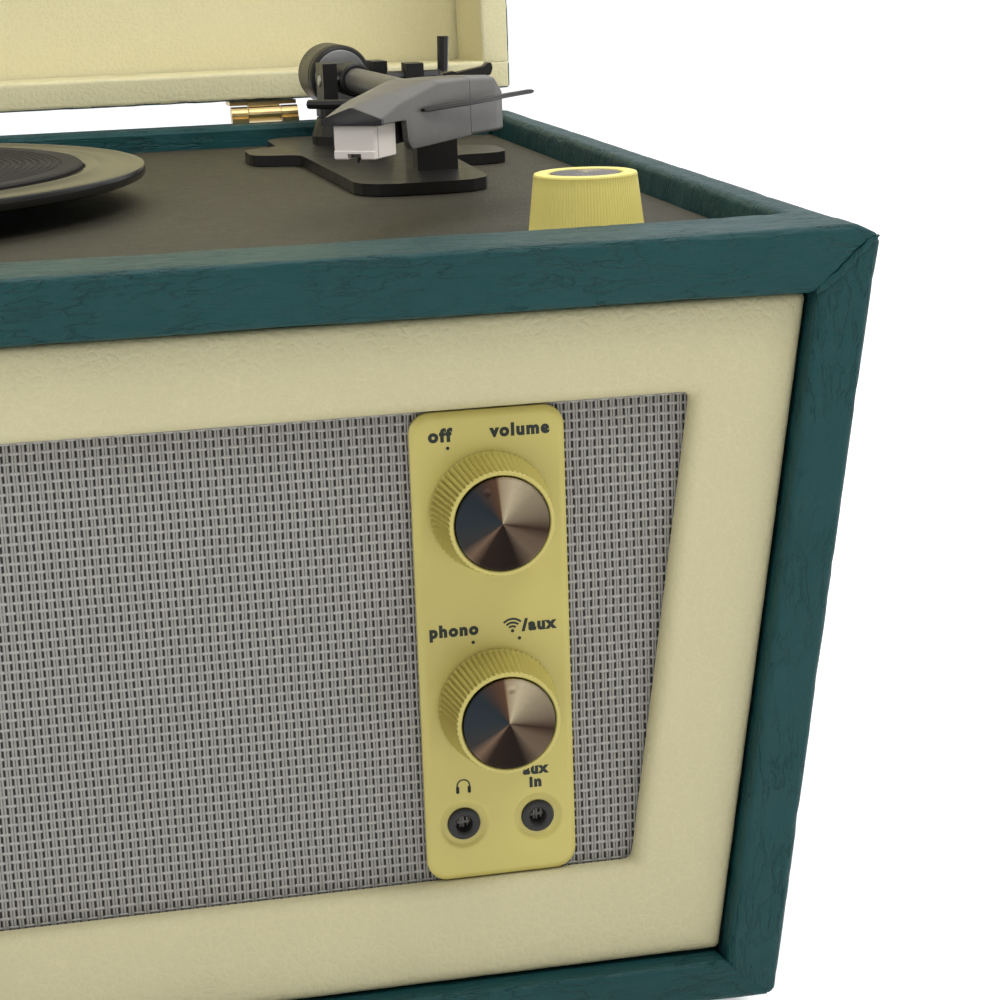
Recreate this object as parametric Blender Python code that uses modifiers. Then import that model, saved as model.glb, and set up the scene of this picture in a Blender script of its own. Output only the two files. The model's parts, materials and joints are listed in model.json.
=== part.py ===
"""A suitcase record player: slanted case, open lid, belt-driven platter, tonearm and front controls.

Sizes are in metres, +Z is up and the front of the case faces -Y. The origin lies on the floor under the
middle of the whole object with its lid open. Inside the case, places are measured from its middle.
"""

from math import acos, asin, cos, pi, radians, sin, tan

import bmesh
import bpy
from mathutils import Matrix, Vector

MM = 0.001
GAP = 0.3 * MM  # clearance between pieces that touch
TURN_STEPS = 24
CRISP_ANGLE = radians(32)  # round pieces are shaded smooth where their faces meet at less than this

# ---- Case
CASE_WIDTH = 440 * MM  # across the rim
CASE_DEPTH = 380 * MM
CASE_HEIGHT = 188.6 * MM
SIDE_SLANT = radians(8.13)  # the sides lean in towards the bottom
SIDE_THICKNESS = 13.7 * MM  # measured across
BOTTOM_THICKNESS = 11 * MM
RAIL_HEIGHT = 15 * MM
RAIL_DEPTH = 31.7 * MM
BACK_THICKNESS = 15 * MM
BOARD_EDGE = 1.6 * MM
FOOT_HEIGHT = 8 * MM
FOOT_RADIUS = 10 * MM
FOOT_INSET = 38 * MM

# ---- Front
TRIM_RECESS = 5 * MM  # trim face behind the front edges of the boards
TRIM_THICKNESS = 5 * MM
TRIM_REVEAL = 0.7 * MM
TRIM_SIDE = 24.3 * MM
TRIM_TOP = 21.8 * MM
TRIM_BOTTOM = 24.5 * MM
CLOTH_THICKNESS = 0.8 * MM
CLOTH_MARGIN = 8 * MM
BAFFLE_THICKNESS = 12 * MM
SPEAKER_RADIUS = 42 * MM
SPEAKER_HOLE = 37 * MM
SPEAKER_DEPTH = 36 * MM
SPEAKER_FROM_END = 120 * MM  # left speaker from the end of the rim
SPEAKER_FROM_PLATE = 87 * MM  # right speaker from the control plate's middle
SPEAKER_MAGNET = 25 * MM

# ---- Control plate
PLATE_WIDTH = 36.3 * MM
PLATE_CLEARANCE = 0.5 * MM  # to the trim above and below it
PLATE_THICKNESS = 2 * MM
PLATE_CORNER = 5 * MM
PLATE_FROM_OPENING = 14.3 * MM  # to the opening's lower right corner
PLATE_BEHIND_FRONT = 8 * MM
KNOB_FROM_PLATE_TOP = (23.7 * MM, 71.2 * MM)
KNOB_HEIGHT = 13.2 * MM
KNOB_BASE_RADIUS = 14.4 * MM
KNOB_FOOT_RADIUS = 13.1 * MM
KNOB_TOP_RADIUS = 12.4 * MM
KNOB_FLANGE = 2.4 * MM
CAP_RADIUS = 10.86 * MM
CAP_PROUD = 0.5 * MM
CAP_SEAT = 2 * MM
SHAFT_RADIUS = 3 * MM
SHAFT_LENGTH = 12 * MM
POT_RADIUS = 8.2 * MM
JACK_RADIUS = 4 * MM
JACK_HOLE = 1.8 * MM
JACK_BODY_RADIUS = 5.2 * MM
JACK_LENGTH = 13.4 * MM
JACK_SPACING = 18 * MM
JACK_FROM_PLATE_BOTTOM = 13.8 * MM
JACK_DISH_RADIUS = 5.4 * MM
JACK_DISH_DEPTH = 0.8 * MM
BOARD_MARGIN = 4 * MM
BOARD_THICKNESS = 1.6 * MM

# ---- Deck, platter and drive
DECK_DROP = 7.7 * MM
DECK_THICKNESS = 5 * MM
PLATTER_FROM_PIVOT_X = 189.8 * MM
PLATTER_FROM_PIVOT_Y = 110 * MM
PLATTER_RADIUS = 109.3 * MM
PLATTER_ABOVE_DECK = 11.4 * MM
PLATTER_LIP = 2.6 * MM
PLATTER_WEB = 3.6 * MM
PLATTER_HUB_RADIUS = 12 * MM
MAT_INSIDE_EDGE = 18.4 * MM  # the mat's edge inside the platter's
MAT_THICKNESS = 2.2 * MM
MAT_SEAT = 1.3 * MM
DRIVE_RING_RADIUS = 65.2 * MM
DRIVE_RING_WALL = 3.2 * MM
DRIVE_RING_ABOVE_DECK = 1.5 * MM
SPINDLE_RADIUS = 3.6 * MM
SPINDLE_ABOVE_MAT = 13 * MM
BEARING_RADIUS = 9.7 * MM
BEARING_FLANGE = 16 * MM
BEARING_FLANGE_THICKNESS = 1.2 * MM
BEARING_LENGTH = 22 * MM
PULLEY_RADIUS = 5 * MM
PULLEY_RIM = 0.6 * MM
PULLEY_DISTANCE = 88 * MM
PULLEY_ANGLE = radians(140)
MOTOR_RADIUS = 18 * MM
MOTOR_HEIGHT = 24 * MM
MOTOR_SHAFT = 1 * MM
BELT_THICKNESS = 1 * MM
BELT_HEIGHT = 3.2 * MM
SPEED_KNOB_FROM_SIDE = 37.7 * MM
SPEED_KNOB_FROM_RAIL = 39.7 * MM
SPEED_KNOB_HEIGHT = 15.3 * MM
SPEED_KNOB_TOP = 13.3 * MM
SPEED_KNOB_BASE = 14.8 * MM
SPEED_CAP_RADIUS = 9 * MM
SPEED_CAP_SUNK = 0.6 * MM
SPEED_KNOB_FLANGE = 1.2 * MM
SPEED_SHAFT_BELOW_DECK = 8 * MM
SPEED_SWITCH_RADIUS = 9 * MM
SPEED_SWITCH_LENGTH = 11 * MM

# ---- Tonearm
PIVOT_FROM_SIDE = 59 * MM
PIVOT_FROM_BACK = 45 * MM
ARM_ABOVE_PLATTER = 14.2 * MM
ARM_RADIUS = 4.2 * MM
TRUNNION_RADIUS = 2 * MM
HEAD_FROM_PIVOT_X = 34 * MM
HEAD_FROM_PIVOT_Y = 224 * MM
HEAD_ANGLE = radians(34)
HEAD_LENGTH = 59 * MM
HEAD_WIDTH = 17 * MM
HEAD_WALL = 1.6 * MM
NECK_LENGTH = 27 * MM
CARTRIDGE_WIDTH = 11.6 * MM
STYLUS_LENGTH = 14 * MM
LIFT_THICKNESS = 1.3 * MM
COUNTERWEIGHT_RADIUS = 11 * MM
COUNTERWEIGHT_LENGTH = 24 * MM
COUNTERWEIGHT_BEHIND = 18 * MM
ARM_BASE_THICKNESS = 3.5 * MM
PEDESTAL_RADIUS = 15 * MM
PEDESTAL_HEIGHT = 9 * MM
YOKE_STEM = 4 * MM
YOKE_STEM_LENGTH = 12 * MM
YOKE_DISC = 13 * MM
YOKE_DISC_THICKNESS = 3 * MM
YOKE_GAP = 6.5 * MM  # from the middle to an upright
YOKE_UPRIGHT = 5 * MM
REST_FROM_PIVOT = 105 * MM
REST_CLEARANCE = 2.4 * MM  # room for the arm to drop to the record's height
REST_WIDTH = 9 * MM
PRONG_THICKNESS = 3.2 * MM
CLIP_EYE = 1.8 * MM
CLIP_PIN = 1 * MM
CLIP_WIDTH = 4.5 * MM
CLIP_LENGTH = 14 * MM
CLIP_OPEN = radians(80)
CUE_RADIUS = 26 * MM  # lift bar's distance from the arm's pivot
CUE_CLEARANCE = 0.8 * MM
CUE_ROD = 1.6 * MM
CUE_ARC_START = radians(-8)
CUE_ARC_SWEEP = radians(56)
CUE_POST_ANGLE = radians(18)
CUE_POST_RADIUS = 2.5 * MM
CUE_TRAVEL = 4 * MM
CUE_BOSS_RADIUS = 5 * MM
CUE_BOSS_HEIGHT = 9 * MM
CUE_LEVER_RADIUS = 2 * MM
CUE_LEVER_BEFORE_PIVOT = 22 * MM
CUE_LEVER_FROM_PIVOT = 8.8 * MM
CUE_LEVER_LENGTH = 20 * MM
CUE_LEVER_ABOVE_ARM = 1.5 * MM
CUE_LEVER_RISE = 13 * MM
CUE_BRACKET = 6 * MM

# ---- Lid
LID_INSET = 3 * MM
LID_HEIGHT = 56 * MM
LID_WALL = 11 * MM
LID_PANEL = 6 * MM
LID_OPEN = radians(92)
LID_REST_GAP = 0.8 * MM
HINGE_BEHIND = 5 * MM  # pin behind the case's back
HINGE_ABOVE = 2.5 * MM  # pin above the rim
HINGE_WIDTH = 25 * MM
HINGE_LEAF = 1.4 * MM
HINGE_LEAF_HEIGHT = 18 * MM
HINGE_KNUCKLE = 3 * MM
HINGE_PIN = 1.6 * MM
HINGE_FROM_END = 98 * MM
HASP_WIDTH = 18 * MM
HASP_BASE_HEIGHT = 12 * MM
HASP_ABOVE_EDGE = 6 * MM  # pin above the lid's lower edge
HASP_TAIL = 5 * MM
HASP_THICKNESS = 1.4 * MM
HASP_KNUCKLE = 2.2 * MM
HASP_PIN = 1.1 * MM
HASP_PLAY = 0.8 * MM  # round the keeper's stud
HASP_OPEN = radians(75)
KEEPER_BELOW_RIM = 7.5 * MM
KEEPER_HEIGHT = 12 * MM
KEEPER_THICKNESS = 1.2 * MM
KEEPER_STUD = 2.2 * MM

# ---- Back
SOCKET_PLATE_WIDTH = 78 * MM
SOCKET_PLATE_HEIGHT = 34 * MM
SOCKET_PLATE_THICKNESS = 1.6 * MM
SOCKET_PLATE_FROM_END = 110 * MM
SOCKET_PLATE_ABOVE_BOTTOM = 33 * MM
RCA_RADIUS = 4.1 * MM
RCA_HOLE = 1.6 * MM
RCA_SPACING = 14 * MM
RCA_LENGTH = 8 * MM
INLET_RADIUS = 5.4 * MM
INLET_HOLE = 2.75 * MM

# ---- Levels, planes and places that follow from the sizes above
CASE_BOTTOM = FOOT_HEIGHT
RIM_TOP = CASE_BOTTOM + CASE_HEIGHT
FRONT = -CASE_DEPTH / 2
BACK = CASE_DEPTH / 2
DECK_TOP = RIM_TOP - DECK_DROP
DECK_BOTTOM = DECK_TOP - DECK_THICKNESS
DECK_FRONT = FRONT + RAIL_DEPTH + GAP
DECK_BACK = BACK - BACK_THICKNESS - GAP
TRIM_FACE = FRONT + TRIM_RECESS
CLOTH_FACE = TRIM_FACE + TRIM_THICKNESS + GAP
BAFFLE_FACE = CLOTH_FACE + CLOTH_THICKNESS + GAP
BAFFLE_BACK = BAFFLE_FACE + BAFFLE_THICKNESS
INSIDE_BOTTOM = CASE_BOTTOM + BOTTOM_THICKNESS + GAP
RAIL_BOTTOM = RIM_TOP - RAIL_HEIGHT
TRIM_LOW = CASE_BOTTOM + BOTTOM_THICKNESS + TRIM_REVEAL
TRIM_HIGH = RAIL_BOTTOM - TRIM_REVEAL
TRIM_EDGE = SIDE_THICKNESS + TRIM_REVEAL  # inside the slanted sides
OPENING_BOTTOM = TRIM_LOW + TRIM_BOTTOM
OPENING_TOP = TRIM_HIGH - TRIM_TOP
SPEAKER_Z = (OPENING_BOTTOM + OPENING_TOP) / 2
PLATE_FACE = FRONT + PLATE_BEHIND_FRONT
PLATE_BACK = PLATE_FACE + PLATE_THICKNESS
PLATE_BOTTOM = OPENING_BOTTOM + PLATE_CLEARANCE
PLATE_TOP = OPENING_TOP - PLATE_CLEARANCE
PLATE_HEIGHT = PLATE_TOP - PLATE_BOTTOM
PLATE_Z = (PLATE_BOTTOM + PLATE_TOP) / 2
PLATTER_TOP = DECK_TOP + PLATTER_ABOVE_DECK
MAT_TOP = PLATTER_TOP - MAT_SEAT + GAP + MAT_THICKNESS
MAT_RADIUS = PLATTER_RADIUS - MAT_INSIDE_EDGE
DRIVE_RING_BOTTOM = PLATTER_ABOVE_DECK - DRIVE_RING_ABOVE_DECK
ARM_Z = PLATTER_TOP + ARM_ABOVE_PLATTER
ARM_BASE_TOP = DECK_TOP + GAP + ARM_BASE_THICKNESS
LID_BOTTOM = RIM_TOP + LID_REST_GAP
LID_TOP = LID_BOTTOM + LID_HEIGHT
LID_FRONT = FRONT + LID_INSET
LID_HALF = CASE_WIDTH / 2 - LID_INSET
HINGE_X = CASE_WIDTH / 2 - HINGE_FROM_END
HINGE_Y = BACK + HINGE_BEHIND
HINGE_Z = RIM_TOP + HINGE_ABOVE
SOCKET_PLATE_X = CASE_WIDTH / 2 - SOCKET_PLATE_FROM_END
SOCKET_PLATE_Z = CASE_BOTTOM + BOTTOM_THICKNESS + SOCKET_PLATE_ABOVE_BOTTOM
FRONT_REACH = KNOB_HEIGHT + GAP + CAP_PROUD - PLATE_FACE
BACK_REACH = HINGE_Y + (LID_TOP - HINGE_Z) * sin(LID_OPEN) - (HINGE_Y - LID_FRONT) * cos(LID_OPEN)
CASE_MIDDLE_Y = (FRONT_REACH - BACK_REACH) / 2


def half_width(z):
    """Half the case's outer width at a height."""
    return CASE_WIDTH / 2 - (RIM_TOP - z) * tan(SIDE_SLANT)


DECK_SIDE = half_width(DECK_TOP) - SIDE_THICKNESS
PLATE_X = half_width(OPENING_BOTTOM) - TRIM_EDGE - TRIM_SIDE - PLATE_FROM_OPENING - PLATE_WIDTH / 2
SPEAKERS_X = (SPEAKER_FROM_END - CASE_WIDTH / 2, PLATE_X - SPEAKER_FROM_PLATE)
SPEED_KNOB_X = DECK_SIDE - SPEED_KNOB_FROM_SIDE
SPEED_KNOB_Y = FRONT + RAIL_DEPTH + SPEED_KNOB_FROM_RAIL
PIVOT_X = DECK_SIDE - PIVOT_FROM_SIDE
PIVOT_Y = BACK - BACK_THICKNESS - PIVOT_FROM_BACK
PLATTER_X = PIVOT_X - PLATTER_FROM_PIVOT_X
PLATTER_Y = PIVOT_Y - PLATTER_FROM_PIVOT_Y
HEAD_FRONT_X = PIVOT_X - HEAD_FROM_PIVOT_X
HEAD_FRONT_Y = PIVOT_Y - HEAD_FROM_PIVOT_Y
REST_Y = PIVOT_Y - REST_FROM_PIVOT
CUE_LEVER_Y = PIVOT_Y - CUE_LEVER_BEFORE_PIVOT
CUE_LEVER_X = PIVOT_X + CUE_LEVER_FROM_PIVOT
NECK_END = HEAD_LENGTH + NECK_LENGTH - HEAD_WIDTH * 0.35
NECK_X = HEAD_FRONT_X + NECK_END * sin(HEAD_ANGLE)
NECK_Y = HEAD_FRONT_Y + NECK_END * cos(HEAD_ANGLE)
ARM_LEAN = -asin((NECK_X - PIVOT_X) / (PIVOT_Y - NECK_Y))  # of the tube, towards -X


def arm_x(y):
    """The arm's middle line, which is straight from the neck back to the pivot."""
    return PIVOT_X + (PIVOT_Y - y) * (NECK_X - PIVOT_X) / (PIVOT_Y - NECK_Y)


PRONG_X = arm_x(REST_Y) + ARM_RADIUS + 1.2 * MM
CLIP_X = PRONG_X + PRONG_THICKNESS / 2
CLIP_Z = ARM_Z + ARM_RADIUS + 1.5 * MM

TEAL = ("teal_leatherette", (0.022, 0.072, 0.077), 0.5, 0)
CREAM = ("cream_leatherette", (0.55, 0.5, 0.33), 0.55, 0)
CLOTH = ("grille_cloth", (0.25, 0.24, 0.22), 0.9, 0)
BOARD = ("fibreboard", (0.32, 0.22, 0.13), 0.85, 0)
DECK = ("deck_black", (0.06, 0.055, 0.045), 0.6, 0)
CREAM_PLASTIC = ("cream_plastic", (0.62, 0.54, 0.27), 0.35, 0)
DARK_METAL = ("smoked_metal", (0.3, 0.25, 0.21), 0.28, 1)
BLACK_PLASTIC = ("black_plastic", (0.018, 0.018, 0.018), 0.4, 0)
GREY_PLASTIC = ("grey_plastic", (0.09, 0.09, 0.09), 0.45, 0)
WHITE_PLASTIC = ("white_plastic", (0.65, 0.6, 0.55), 0.4, 0)
STEEL = ("steel", (0.6, 0.6, 0.6), 0.3, 1)
BRASS = ("brass", (0.6, 0.48, 0.22), 0.3, 1)
RUBBER = ("rubber", (0.02, 0.02, 0.02), 0.8, 0)
CIRCUIT = ("circuit_board", (0.02, 0.13, 0.05), 0.5, 0)
PAPER = ("speaker_paper", (0.03, 0.03, 0.03), 0.8, 0)


def clear_scene():
    for item in list(bpy.data.objects):
        bpy.data.objects.remove(item, do_unlink=True)


def new_collection(name):
    collection = bpy.data.collections.new(name)
    bpy.context.scene.collection.children.link(collection)
    return collection


clear_scene()
PARTS = new_collection("suitcase_record_player")
CUTTERS = new_collection("cutters")
CUTTERS.hide_render = True


def material(finish):
    name, colour, roughness, metallic = finish
    found = bpy.data.materials.get(name)
    if found:
        return found
    made = bpy.data.materials.new(name)
    made.use_nodes = True
    shader = made.node_tree.nodes["Principled BSDF"]
    shader.inputs["Base Color"].default_value = (*colour, 1)
    shader.inputs["Roughness"].default_value = roughness
    shader.inputs["Metallic"].default_value = metallic
    return made


def empty(name, location, parent=None, rotation=(0, 0, 0)):
    made = bpy.data.objects.new(name, None)
    made.empty_display_size = 0.01
    made.location = location
    made.rotation_euler = rotation
    made.parent = parent
    PARTS.objects.link(made)
    return made


CASE = empty("case_middle", (0, CASE_MIDDLE_Y, 0))


def add(name, mesh, finish, location=(0, 0, 0), rotation=(0, 0, 0), parent=CASE):
    """Links a mesh as a part. Location and rotation are in the parent's frame."""
    made = bpy.data.objects.new(name, mesh)
    made.location = location
    made.rotation_euler = rotation
    made.parent = parent
    PARTS.objects.link(made)
    if finish:
        mesh.materials.append(material(finish))
    return made


def shade_round(part):
    """Shades a round piece smooth, with its sharper edges kept crisp."""
    part.data.shade_smooth()
    part.data.set_sharp_from_angle(angle=CRISP_ANGLE)
    return part


def round_edges(part, width, segments=2):
    bevel = part.modifiers.new("rounded_edges", "BEVEL")
    bevel.width = width
    bevel.segments = segments
    bevel.limit_method = "ANGLE"
    bevel.angle_limit = radians(40)
    return part


def mesh_of(fill, name):
    mesh = bpy.data.meshes.new(name)
    shape = bmesh.new()
    fill(shape)
    bmesh.ops.recalc_face_normals(shape, faces=shape.faces)
    shape.to_mesh(mesh)
    shape.free()
    return mesh


def block(name, low, high, finish, edge=0, parent=CASE, segments=2):
    """A box between two corners, given in the parent's frame. Its origin is its middle."""
    low, high = Vector(low), Vector(high)
    size = high - low

    def fill(shape):
        bmesh.ops.create_cube(shape, size=1)
        bmesh.ops.scale(shape, vec=size, verts=shape.verts)

    made = add(name, mesh_of(fill, name), finish, (low + high) / 2, parent=parent)
    return round_edges(made, edge, segments) if edge else made


def cylinder(name, radius, length, middle, finish, direction="Z", parent=CASE, sides=TURN_STEPS):
    turn = {"X": (0, pi / 2, 0), "Y": (pi / 2, 0, 0), "Z": (0, 0, 0)}[direction]

    def fill(shape):
        bmesh.ops.create_cone(
            shape, cap_ends=True, segments=sides, radius1=radius, radius2=radius, depth=length
        )

    return shade_round(add(name, mesh_of(fill, name), finish, middle, turn, parent))


def turned(name, profile, finish, location, rotation=(0, 0, 0), parent=CASE, steps=TURN_STEPS):
    """A profile of (radius, height) points turned about local Z. It may close on itself off the axis."""
    closed = profile[0][0] > 0

    def fill(shape):
        points = [shape.verts.new((radius, 0, height)) for radius, height in profile]
        pairs = list(zip(points, points[1:])) + ([(points[-1], points[0])] if closed else [])
        edges = [shape.edges.new(pair) for pair in pairs]
        turn = {"cent": (0, 0, 0), "axis": (0, 0, 1), "angle": 2 * pi, "steps": steps}
        bmesh.ops.spin(shape, geom=points + edges, use_merge=True, **turn)
        bmesh.ops.remove_doubles(shape, verts=shape.verts, dist=0.00001)

    return shade_round(add(name, mesh_of(fill, name), finish, location, rotation, parent))


def circle(x, y, radius, steps=TURN_STEPS):
    return [
        (x + radius * cos(2 * pi * i / steps), y + radius * sin(2 * pi * i / steps))
        for i in range(steps)
    ]


def rounded(corners, radius, steps=4):
    """A closed outline with each corner replaced by an arc. Radius is one value, or one for each corner."""
    radii = radius if isinstance(radius, (list, tuple)) else [radius] * len(corners)
    outline = []
    for i, corner in enumerate(corners):
        here = Vector(corner)
        before = (Vector(corners[i - 1]) - here).normalized()
        after = (Vector(corners[(i + 1) % len(corners)]) - here).normalized()
        half = acos(max(-1, min(1, before.dot(after)))) / 2
        middle = here + (before + after).normalized() * radii[i] / sin(half)
        start = here + before * radii[i] / tan(half) - middle
        end = here + after * radii[i] / tan(half) - middle
        sweep = pi - 2 * half
        for step in range(steps + 1):
            share = step / steps
            point = start * sin((1 - share) * sweep) + end * sin(share * sweep)
            outline.append(tuple(middle + point / sin(sweep)))
    return outline


def plate(name, outlines, thickness, middle, finish, facing="top", edge=0, parent=CASE, segments=2):
    """A flat outline, with holes, extruded about its middle. Facing front puts its second axis upright."""
    curve = bpy.data.curves.new(name, "CURVE")
    curve.dimensions = "2D"
    curve.fill_mode = "BOTH"
    curve.extrude = thickness / 2
    for outline in outlines:
        spline = curve.splines.new("POLY")
        spline.points.add(len(outline) - 1)
        for point, (x, y) in zip(spline.points, outline):
            point.co = (x, y, 0, 1)
        spline.use_cyclic_u = True
    turn = {"top": (0, 0, 0), "front": (pi / 2, 0, 0), "side": (pi / 2, 0, pi / 2)}[facing]
    made = as_mesh(curve, name, finish, middle, turn, parent)
    return round_edges(made, edge, segments) if edge else shade_round(made)


def as_mesh(curve, name, finish, location, rotation, parent):
    """The mesh of a curve, with its caps welded to its sides."""
    helper = bpy.data.objects.new(name + "_curve", curve)
    PARTS.objects.link(helper)
    graph = bpy.context.evaluated_depsgraph_get()
    mesh = bpy.data.meshes.new_from_object(helper.evaluated_get(graph))
    bpy.data.objects.remove(helper, do_unlink=True)
    shape = bmesh.new()
    shape.from_mesh(mesh)
    bmesh.ops.remove_doubles(shape, verts=shape.verts, dist=0.000002)
    bmesh.ops.recalc_face_normals(shape, faces=shape.faces)
    shape.to_mesh(mesh)
    shape.free()
    mesh.name = name
    return add(name, mesh, finish, location, rotation, parent)


def rod(name, points, radius, finish, parent=CASE, fineness=2):
    """A round bar through the points, as a mesh."""
    curve = bpy.data.curves.new(name, "CURVE")
    curve.dimensions = "3D"
    curve.bevel_depth = radius
    curve.bevel_resolution = fineness
    curve.use_fill_caps = True
    spline = curve.splines.new("POLY")
    spline.points.add(len(points) - 1)
    for point, place in zip(spline.points, points):
        point.co = (*place, 1)
    return shade_round(as_mesh(curve, name, finish, (0, 0, 0), (0, 0, 0), parent))


def combine(target, helper, operation="DIFFERENCE"):
    """Cuts the helper from the target, or joins it on. The helper moves to the cutters."""
    change = target.modifiers.new(helper.name, "BOOLEAN")
    change.operation = operation
    change.object = helper
    helper.hide_render = True
    helper.display_type = "WIRE"
    PARTS.objects.unlink(helper)
    CUTTERS.objects.link(helper)
    return target


def between_sides(low, high, inset):
    """A trapezium that follows the slanted sides, this far inside them."""
    return [
        (-half_width(low) + inset, low),
        (half_width(low) - inset, low),
        (half_width(high) - inset, high),
        (-half_width(high) + inset, high),
    ]


def make_case():
    for side, name in ((-1, "left_side_board"), (1, "right_side_board")):
        outline = [
            (side * half_width(CASE_BOTTOM), CASE_BOTTOM),
            (side * half_width(RIM_TOP), RIM_TOP),
            (side * (half_width(RIM_TOP) - SIDE_THICKNESS), RIM_TOP),
            (side * (half_width(CASE_BOTTOM) - SIDE_THICKNESS), CASE_BOTTOM),
        ]
        plate(name, [outline], CASE_DEPTH, (0, 0, 0), TEAL, "front", BOARD_EDGE)
    inset = SIDE_THICKNESS + GAP
    bottom = between_sides(CASE_BOTTOM, CASE_BOTTOM + BOTTOM_THICKNESS, inset)
    plate("bottom_board", [bottom], CASE_DEPTH, (0, 0, 0), TEAL, "front", BOARD_EDGE)
    rail = between_sides(RAIL_BOTTOM, RIM_TOP, inset)
    plate("front_rail", [rail], RAIL_DEPTH, (0, FRONT + RAIL_DEPTH / 2, 0), TEAL, "front", BOARD_EDGE)
    back = between_sides(INSIDE_BOTTOM, RIM_TOP, inset)
    width, height = SOCKET_PLATE_WIDTH - 8 * MM, SOCKET_PLATE_HEIGHT - 8 * MM
    window = rectangle(SOCKET_PLATE_X, SOCKET_PLATE_Z, width, height)
    middle = (0, BACK - BACK_THICKNESS / 2, 0)
    plate("back_panel", [back, window], BACK_THICKNESS, middle, TEAL, "front", BOARD_EDGE, segments=1)
    foot = [
        (0, 0),
        (FOOT_RADIUS, 0),
        (FOOT_RADIUS * 0.85, -(FOOT_HEIGHT - GAP)),
        (0, -(FOOT_HEIGHT - GAP)),
    ]
    foot_x = half_width(CASE_BOTTOM) - FOOT_INSET
    foot_y = BACK - FOOT_INSET
    for name, x, y in (
        ("foot_front_left", -foot_x, -foot_y),
        ("foot_front_right", foot_x, -foot_y),
        ("foot_back_left", -foot_x, foot_y),
        ("foot_back_right", foot_x, foot_y),
    ):
        turned(name, foot, RUBBER, (x, y, FOOT_HEIGHT - GAP), steps=20)


def rectangle(x, y, width, height):
    return [
        (x - width / 2, y - height / 2),
        (x + width / 2, y - height / 2),
        (x + width / 2, y + height / 2),
        (x - width / 2, y + height / 2),
    ]


def make_front():
    outer = between_sides(TRIM_LOW, TRIM_HIGH, TRIM_EDGE)
    opening = between_sides(OPENING_BOTTOM, OPENING_TOP, TRIM_EDGE + TRIM_SIDE)
    middle = TRIM_FACE + TRIM_THICKNESS / 2
    plate("trim_frame", [outer, opening], TRIM_THICKNESS, (0, middle, 0), CREAM, "front", 1.5 * MM)
    window = rectangle(PLATE_X, PLATE_Z, PLATE_WIDTH - BOARD_MARGIN, PLATE_HEIGHT - BOARD_MARGIN)
    cloth = between_sides(
        OPENING_BOTTOM - CLOTH_MARGIN, OPENING_TOP + CLOTH_MARGIN, TRIM_EDGE + TRIM_SIDE - CLOTH_MARGIN
    )
    middle = CLOTH_FACE + CLOTH_THICKNESS / 2
    plate("grille_cloth", [cloth, window], CLOTH_THICKNESS, (0, middle, 0), CLOTH, "front")
    holes = [circle(x, SPEAKER_Z, SPEAKER_HOLE) for x in SPEAKERS_X]
    middle = BAFFLE_FACE + BAFFLE_THICKNESS / 2
    plate("speaker_baffle", [outer, window, *holes], BAFFLE_THICKNESS, (0, middle, 0), BOARD, "front")
    basket = [
        (0, -9 * MM),
        (9 * MM, -13 * MM),
        (SPEAKER_HOLE - 3 * MM, -2 * MM),
        (SPEAKER_HOLE - 1 * MM, 0),
        (SPEAKER_RADIUS, 0),
        (SPEAKER_RADIUS, -2.5 * MM),
        (SPEAKER_HOLE, -4 * MM),
        (SPEAKER_MAGNET - 4 * MM, -20 * MM),
        (SPEAKER_MAGNET, -20 * MM),
        (SPEAKER_MAGNET, -SPEAKER_DEPTH),
        (0, -SPEAKER_DEPTH),
    ]
    for name, x in zip(("speaker_left", "speaker_right"), SPEAKERS_X):
        turned(name, basket, PAPER, (x, BAFFLE_BACK + GAP, SPEAKER_Z), (pi / 2, 0, 0))


def knob_profile(height, top, foot, base, flange, cap, shaft):
    """A knob with a dished seat for its cap, a flange at its foot and a shaft behind it."""
    chamfer = 0.5 * MM
    return [
        (0, height - CAP_SEAT),
        (cap + GAP, height - CAP_SEAT),
        (cap + GAP, height),
        (top - chamfer, height),
        (top, height - chamfer),
        (foot, flange + chamfer),
        (base, flange - chamfer),
        (base, 0),
        (SHAFT_RADIUS, 0),
        (SHAFT_RADIUS, -shaft),
        (0, -shaft),
    ]


def cap_profile(radius, height):
    top = height + CAP_PROUD
    edge = 0.4 * MM
    low = height - CAP_SEAT + GAP
    return [(0, top), (radius - edge, top), (radius, top - edge), (radius, low), (0, low)]


def switch_profile(radius, top, shaft, length):
    """A control's body, with a blind bore for the shaft."""
    bore = SHAFT_RADIUS + GAP
    floor = -shaft - GAP
    return [(0, floor), (bore, floor), (bore, top), (radius, top), (radius, -length), (0, -length)]


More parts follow.
